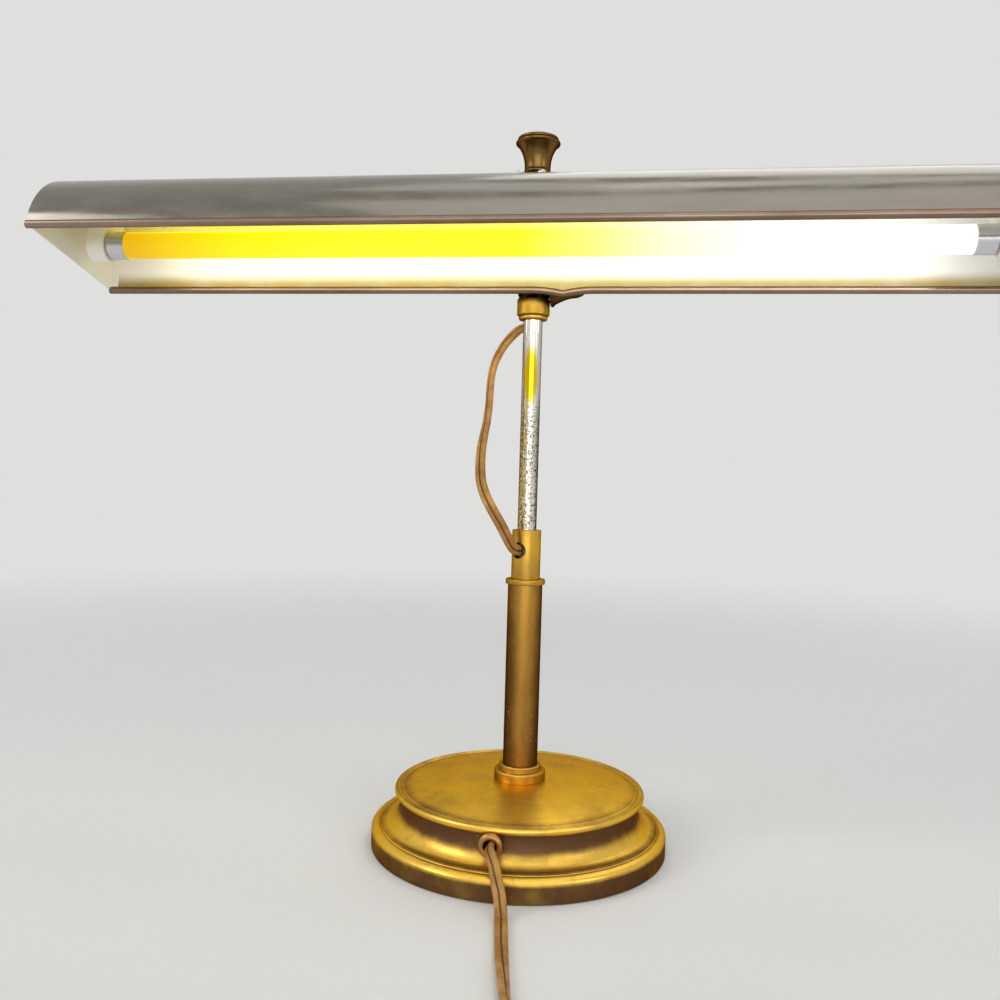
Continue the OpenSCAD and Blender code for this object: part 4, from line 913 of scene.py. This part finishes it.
def meets_lip(radius):
    """The angle round a lip at which an arc of the sheet runs into it."""
    return math.acos((radius ** 2 - lip_across ** 2 - lip_radius ** 2) / (2 * lip_across * lip_radius))


outer_radius = shade_radius + sheet_thickness
from_inner = meets_lip(shade_radius)
to_outer = meets_lip(outer_radius) + 2 * math.pi
back_lip = []
for i in range(lip_steps + 1):
    angle = from_inner + (to_outer - from_inner) * i / lip_steps
    back_lip.append((lip_across + lip_radius * math.cos(angle), lip_radius * math.sin(angle)))
outer_from = math.atan2(back_lip[-1][1], back_lip[-1][0])
inner_from = math.atan2(back_lip[0][1], back_lip[0][0])
section = list(back_lip)
for i in range(1, arc_steps):
    angle = outer_from + (math.pi - 2 * outer_from) * i / arc_steps
    section.append((outer_radius * math.cos(angle), outer_radius * math.sin(angle)))
section += [(-y, z) for y, z in reversed(back_lip)]
for i in range(1, arc_steps):
    angle = math.pi - inner_from - (math.pi - 2 * inner_from) * i / arc_steps
    section.append((shade_radius * math.cos(angle), shade_radius * math.sin(angle)))
outline = [shade_point(y, z) for y, z in section]
shade = chain("shade_sheet", outline + outline[:1])
bpy.ops.mesh.remove_doubles(threshold=0.002 * MM)
bpy.ops.mesh.select_all(action="SELECT")
bpy.ops.mesh.edge_face_add()
bpy.ops.mesh.select_all(action="SELECT")
one_step = (2 * shade_half * MM / shade_steps, 0, 0)
for step in range(shade_steps):
    bpy.ops.mesh.extrude_region_move(TRANSFORM_OT_translate={"value": one_step})
bpy.ops.mesh.select_all(action="SELECT")
bpy.ops.mesh.normals_make_consistent(inside=False)
bpy.ops.mesh.select_all(action="DESELECT")
bpy.ops.object.mode_set(mode="OBJECT")
bpy.ops.object.shade_smooth_by_angle(angle=sheet_crease)

plate_look, tree, shader, place = new_material("polished_plate", Metallic=1.0)
waves = noise(tree, stretched(tree, place, (0.35, 1, 1)), 16, 2)
smears = noise(tree, stretched(tree, place, (0.25, 1, 1)), 90, 5, 0.6)
spots = remap(tree, noise(tree, place, 900, 3), 0.66, 0.72, 0, 0.5)
colour = tint(tree, smears, (0.17, 0.155, 0.13), (0.267, 0.247, 0.211))
paint(tree, shader, tint(tree, spots, colour, (0.16, 0.13, 0.08)))
tree.links.new(remap(tree, smears, 0.3, 0.75, 0.13, 0.30), shader.inputs["Roughness"])
bump(tree, shader, waves, 0.0012)
enamel_look, tree, shader, place = new_material("white_enamel", Roughness=0.32)
_, over = in_shade(tree, place)
old_paint = remap(tree, noise(tree, place, 40, 4), 0.2, 0.6, 0.85, 1)
# Near the lips the enamel is darker and yellower, as aged paint and as painted shade.
tone_shift = sums(tree, "MULTIPLY", remap(tree, over, 0.0125, 0.0035), old_paint)
# Above the tube and towards its left end the enamel is painted yellow, as painted glow of the lit tube.
glow_towards_left = remap(tree, parts_of(tree, place)[0], 0.11, -0.03)
painted_glow_band = sums(tree, "MULTIPLY", remap(tree, over, 0.022, 0.030), glow_towards_left)
colour = tint(tree, painted_glow_band, white_enamel, painted_glow_yellow)
paint(tree, shader, tint(tree, tone_shift, colour, enamel_aged_and_shaded))
bump(tree, shader, noise(tree, place, 500, 2), 0.00005)
shade.data.materials.append(plate_look)
shade.data.materials.append(enamel_look)
# The lips are painted brown as a painted reflection. The sheet's ends take the same finish.
lip_reflection_look = metal("lip_painted_reflection", (0.36, 0.27, 0.21), (0.15, 0.09, 0.06), 0.5, 0.24, 0.42, pull=(0.3, 1, 1),
                 Specular_Tint=(0.4, 0.3, 0.22, 1))
shade.data.materials.append(lip_reflection_look)
for face in shade.data.polygons:
    y, z = face.center.y / MM - shade_axis[0], face.center.z / MM - shade_axis[1]
    over_lips = y * math.sin(shade_tilt) + z * math.cos(shade_tilt)
    if over_lips < lip_radius or abs(face.normal.x) > 0.9:
        face.material_index = 2
    elif math.hypot(y, z) < shade_radius + sheet_thickness / 2:
        face.material_index = 1
knock_x = 20
knock_reach = 3.8
knock_spread = 20
knock_move = Vector((0, 0.5, -2.2))
knock_at = shade_point(lip_across - 0.5 * lip_radius, 0.87 * lip_radius) * Vector((0, 1, 1))
knock_at.x = knock_x * MM
for corner in shade.data.vertices:
    corner.select = (corner.co - knock_at).length < knock_reach * MM
bpy.ops.object.mode_set(mode="EDIT")
bpy.ops.transform.translate(value=knock_move * MM, use_proportional_edit=True,
                            proportional_edit_falloff="SHARP", proportional_size=knock_spread * MM)
bpy.ops.object.mode_set(mode="OBJECT")
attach(shade, "shade")
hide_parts("shade_shell", "lip_wire_front", "lip_wire_back")

# The channel screws: two small nickel plated screws with round heads, driven through the shade near
# its crown to hold the wire channel up.
screw_places = (-2.1, 10.6)
screw_angle = 112
screw_radius = 2.7
screw_height = 2.1
for number, screw_x in enumerate(screw_places, start=1):
    dome = [(screw_radius * math.cos(a), screw_height * math.sin(a))
            for a in (math.pi / 2 * i / 8 for i in range(9))]
    screw = turned(f"channel_screw_{number}", [(0, -1.5), (1.3, -1.5), (1.3, 0)] + dome, steps=32)
    bpy.ops.object.mode_set(mode="EDIT")
    bpy.ops.mesh.select_all(action="SELECT")
    lean = screw_angle - 90 - math.degrees(shade_tilt)
    bpy.ops.transform.rotate(value=-math.radians(lean), orient_axis="X", center_override=(0, 0, 0))
    seat = Vector((outer_radius * math.cos(math.radians(screw_angle)),
                   outer_radius * math.sin(math.radians(screw_angle))))
    bpy.ops.transform.translate(value=shade_point(*seat) + Vector((shade_half + screw_x, 0, 0)) * MM)
    bpy.ops.object.mode_set(mode="OBJECT")
    screw.data.materials.append(steel_look)
    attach(screw, "shade")

# The end plates: half discs of the same plate with a flange, pushed into the shade's ends and
# enamelled inside with it.
end_look, tree, shader, place = new_material("end_plate", Roughness=0.25)
end_inside = 0.2843
end_outside = 0.2847
from_middle = sums(tree, "ABSOLUTE", parts_of(tree, place)[0], 0)
outside = remap(tree, from_middle, end_inside, end_outside)
smears = noise(tree, place, 90, 5, 0.6)
plated = tint(tree, smears, (0.50, 0.49, 0.44), (0.66, 0.66, 0.62))
paint(tree, shader, tint(tree, outside, white_enamel, plated))
tree.links.new(outside, shader.inputs["Metallic"])
finish(end_look, "shade_end_left", "shade_end_right")

# The wire channel: a trough folded from thin steel under the shade's crown, which hides the wiring
# and is enamelled white with the shade.
finish(enamel_look, "wire_channel")

# The lampholders: moulded from ivory plastic, one at each end of the tube. They hang from the
# channel and have spring contacts inside.
finish(ivory_look, "lampholder_left", "lampholder_right")

# The fluorescent tube: glass coated inside with white phosphor, lit, with aluminium caps and brass
# pins. Its front glows less than its underside, so that its run from orange to white shows while
# the inside of the shade is lit.
tube_rise = 9
glass_half = 258.5
glow_forwards = 0.9
glow_down = 0.44
seen_glow = 0.103
up_glow = 0.28


def dimmed(tree, colour, share):
    """A colour from another node, dimmed to a share of itself."""
    made = add(tree, "ShaderNodeVectorMath", operation="SCALE")
    tree.links.new(colour, made.inputs[0])
    made.inputs["Scale"].default_value = share
    return made.outputs[0]


tube_axis = (shade_axis[0] + tube_rise * math.sin(shade_tilt),
             shade_axis[1] + tube_rise * math.cos(shade_tilt))
glow_look, tree, shader, place = new_material("lit_phosphor", Roughness=0.35, Emission_Strength=10.0,
                                              Specular_IOR_Level=0.15)
x, y, z = parts_of(tree, place)
forwards = sums(tree, "SUBTRACT", tube_axis[0] * MM, y)
down = sums(tree, "SUBTRACT", tube_axis[1] * MM, z)
facing = sums(tree, "ADD", sums(tree, "MULTIPLY", forwards, glow_forwards),
              sums(tree, "MULTIPLY", down, glow_down))
front = remap(tree, facing, -0.0012, 0.0006)
above = remap(tree, down, 0.0035, -0.0025)
glow_stops = [(0.03, (0.84, 0.45, 0.0016)), (0.09, (0.94, 0.68, 0.0016)), (0.16, (1.0, 0.89, 0.003)),
              (0.30, (1.0, 0.97, 0.02)), (0.50, (1.0, 0.98, 0.024)), (0.58, (1.0, 0.98, 0.24)),
              (0.66, (1.0, 1.0, 0.68)), (0.76, (1.0, 1.0, 1.0))]
along_tube = add(tree, "ShaderNodeMapRange")
for socket, number in enumerate((-glass_half * MM, glass_half * MM, 0, 1), start=1):
    along_tube.inputs[socket].default_value = number
tree.links.new(x, along_tube.inputs["Value"])
by_length = by_stops(tree, along_tube.outputs["Result"], glow_stops)
glow = tint(tree, above, (1.0, 0.97, 0.90), dimmed(tree, by_length, up_glow))
tree.links.new(tint(tree, front, glow, dimmed(tree, by_length, seen_glow)),
               shader.inputs["Emission Color"])
paint(tree, shader, tint(tree, noise(tree, place, 50, 3), (0.02, 0.018, 0.01), (0.03, 0.027, 0.018)))
finish(glow_look, "glass_tube")
finish(aluminium_look, "tube_cap_left", "tube_cap_right")
finish(contact_look, "tube_pins")
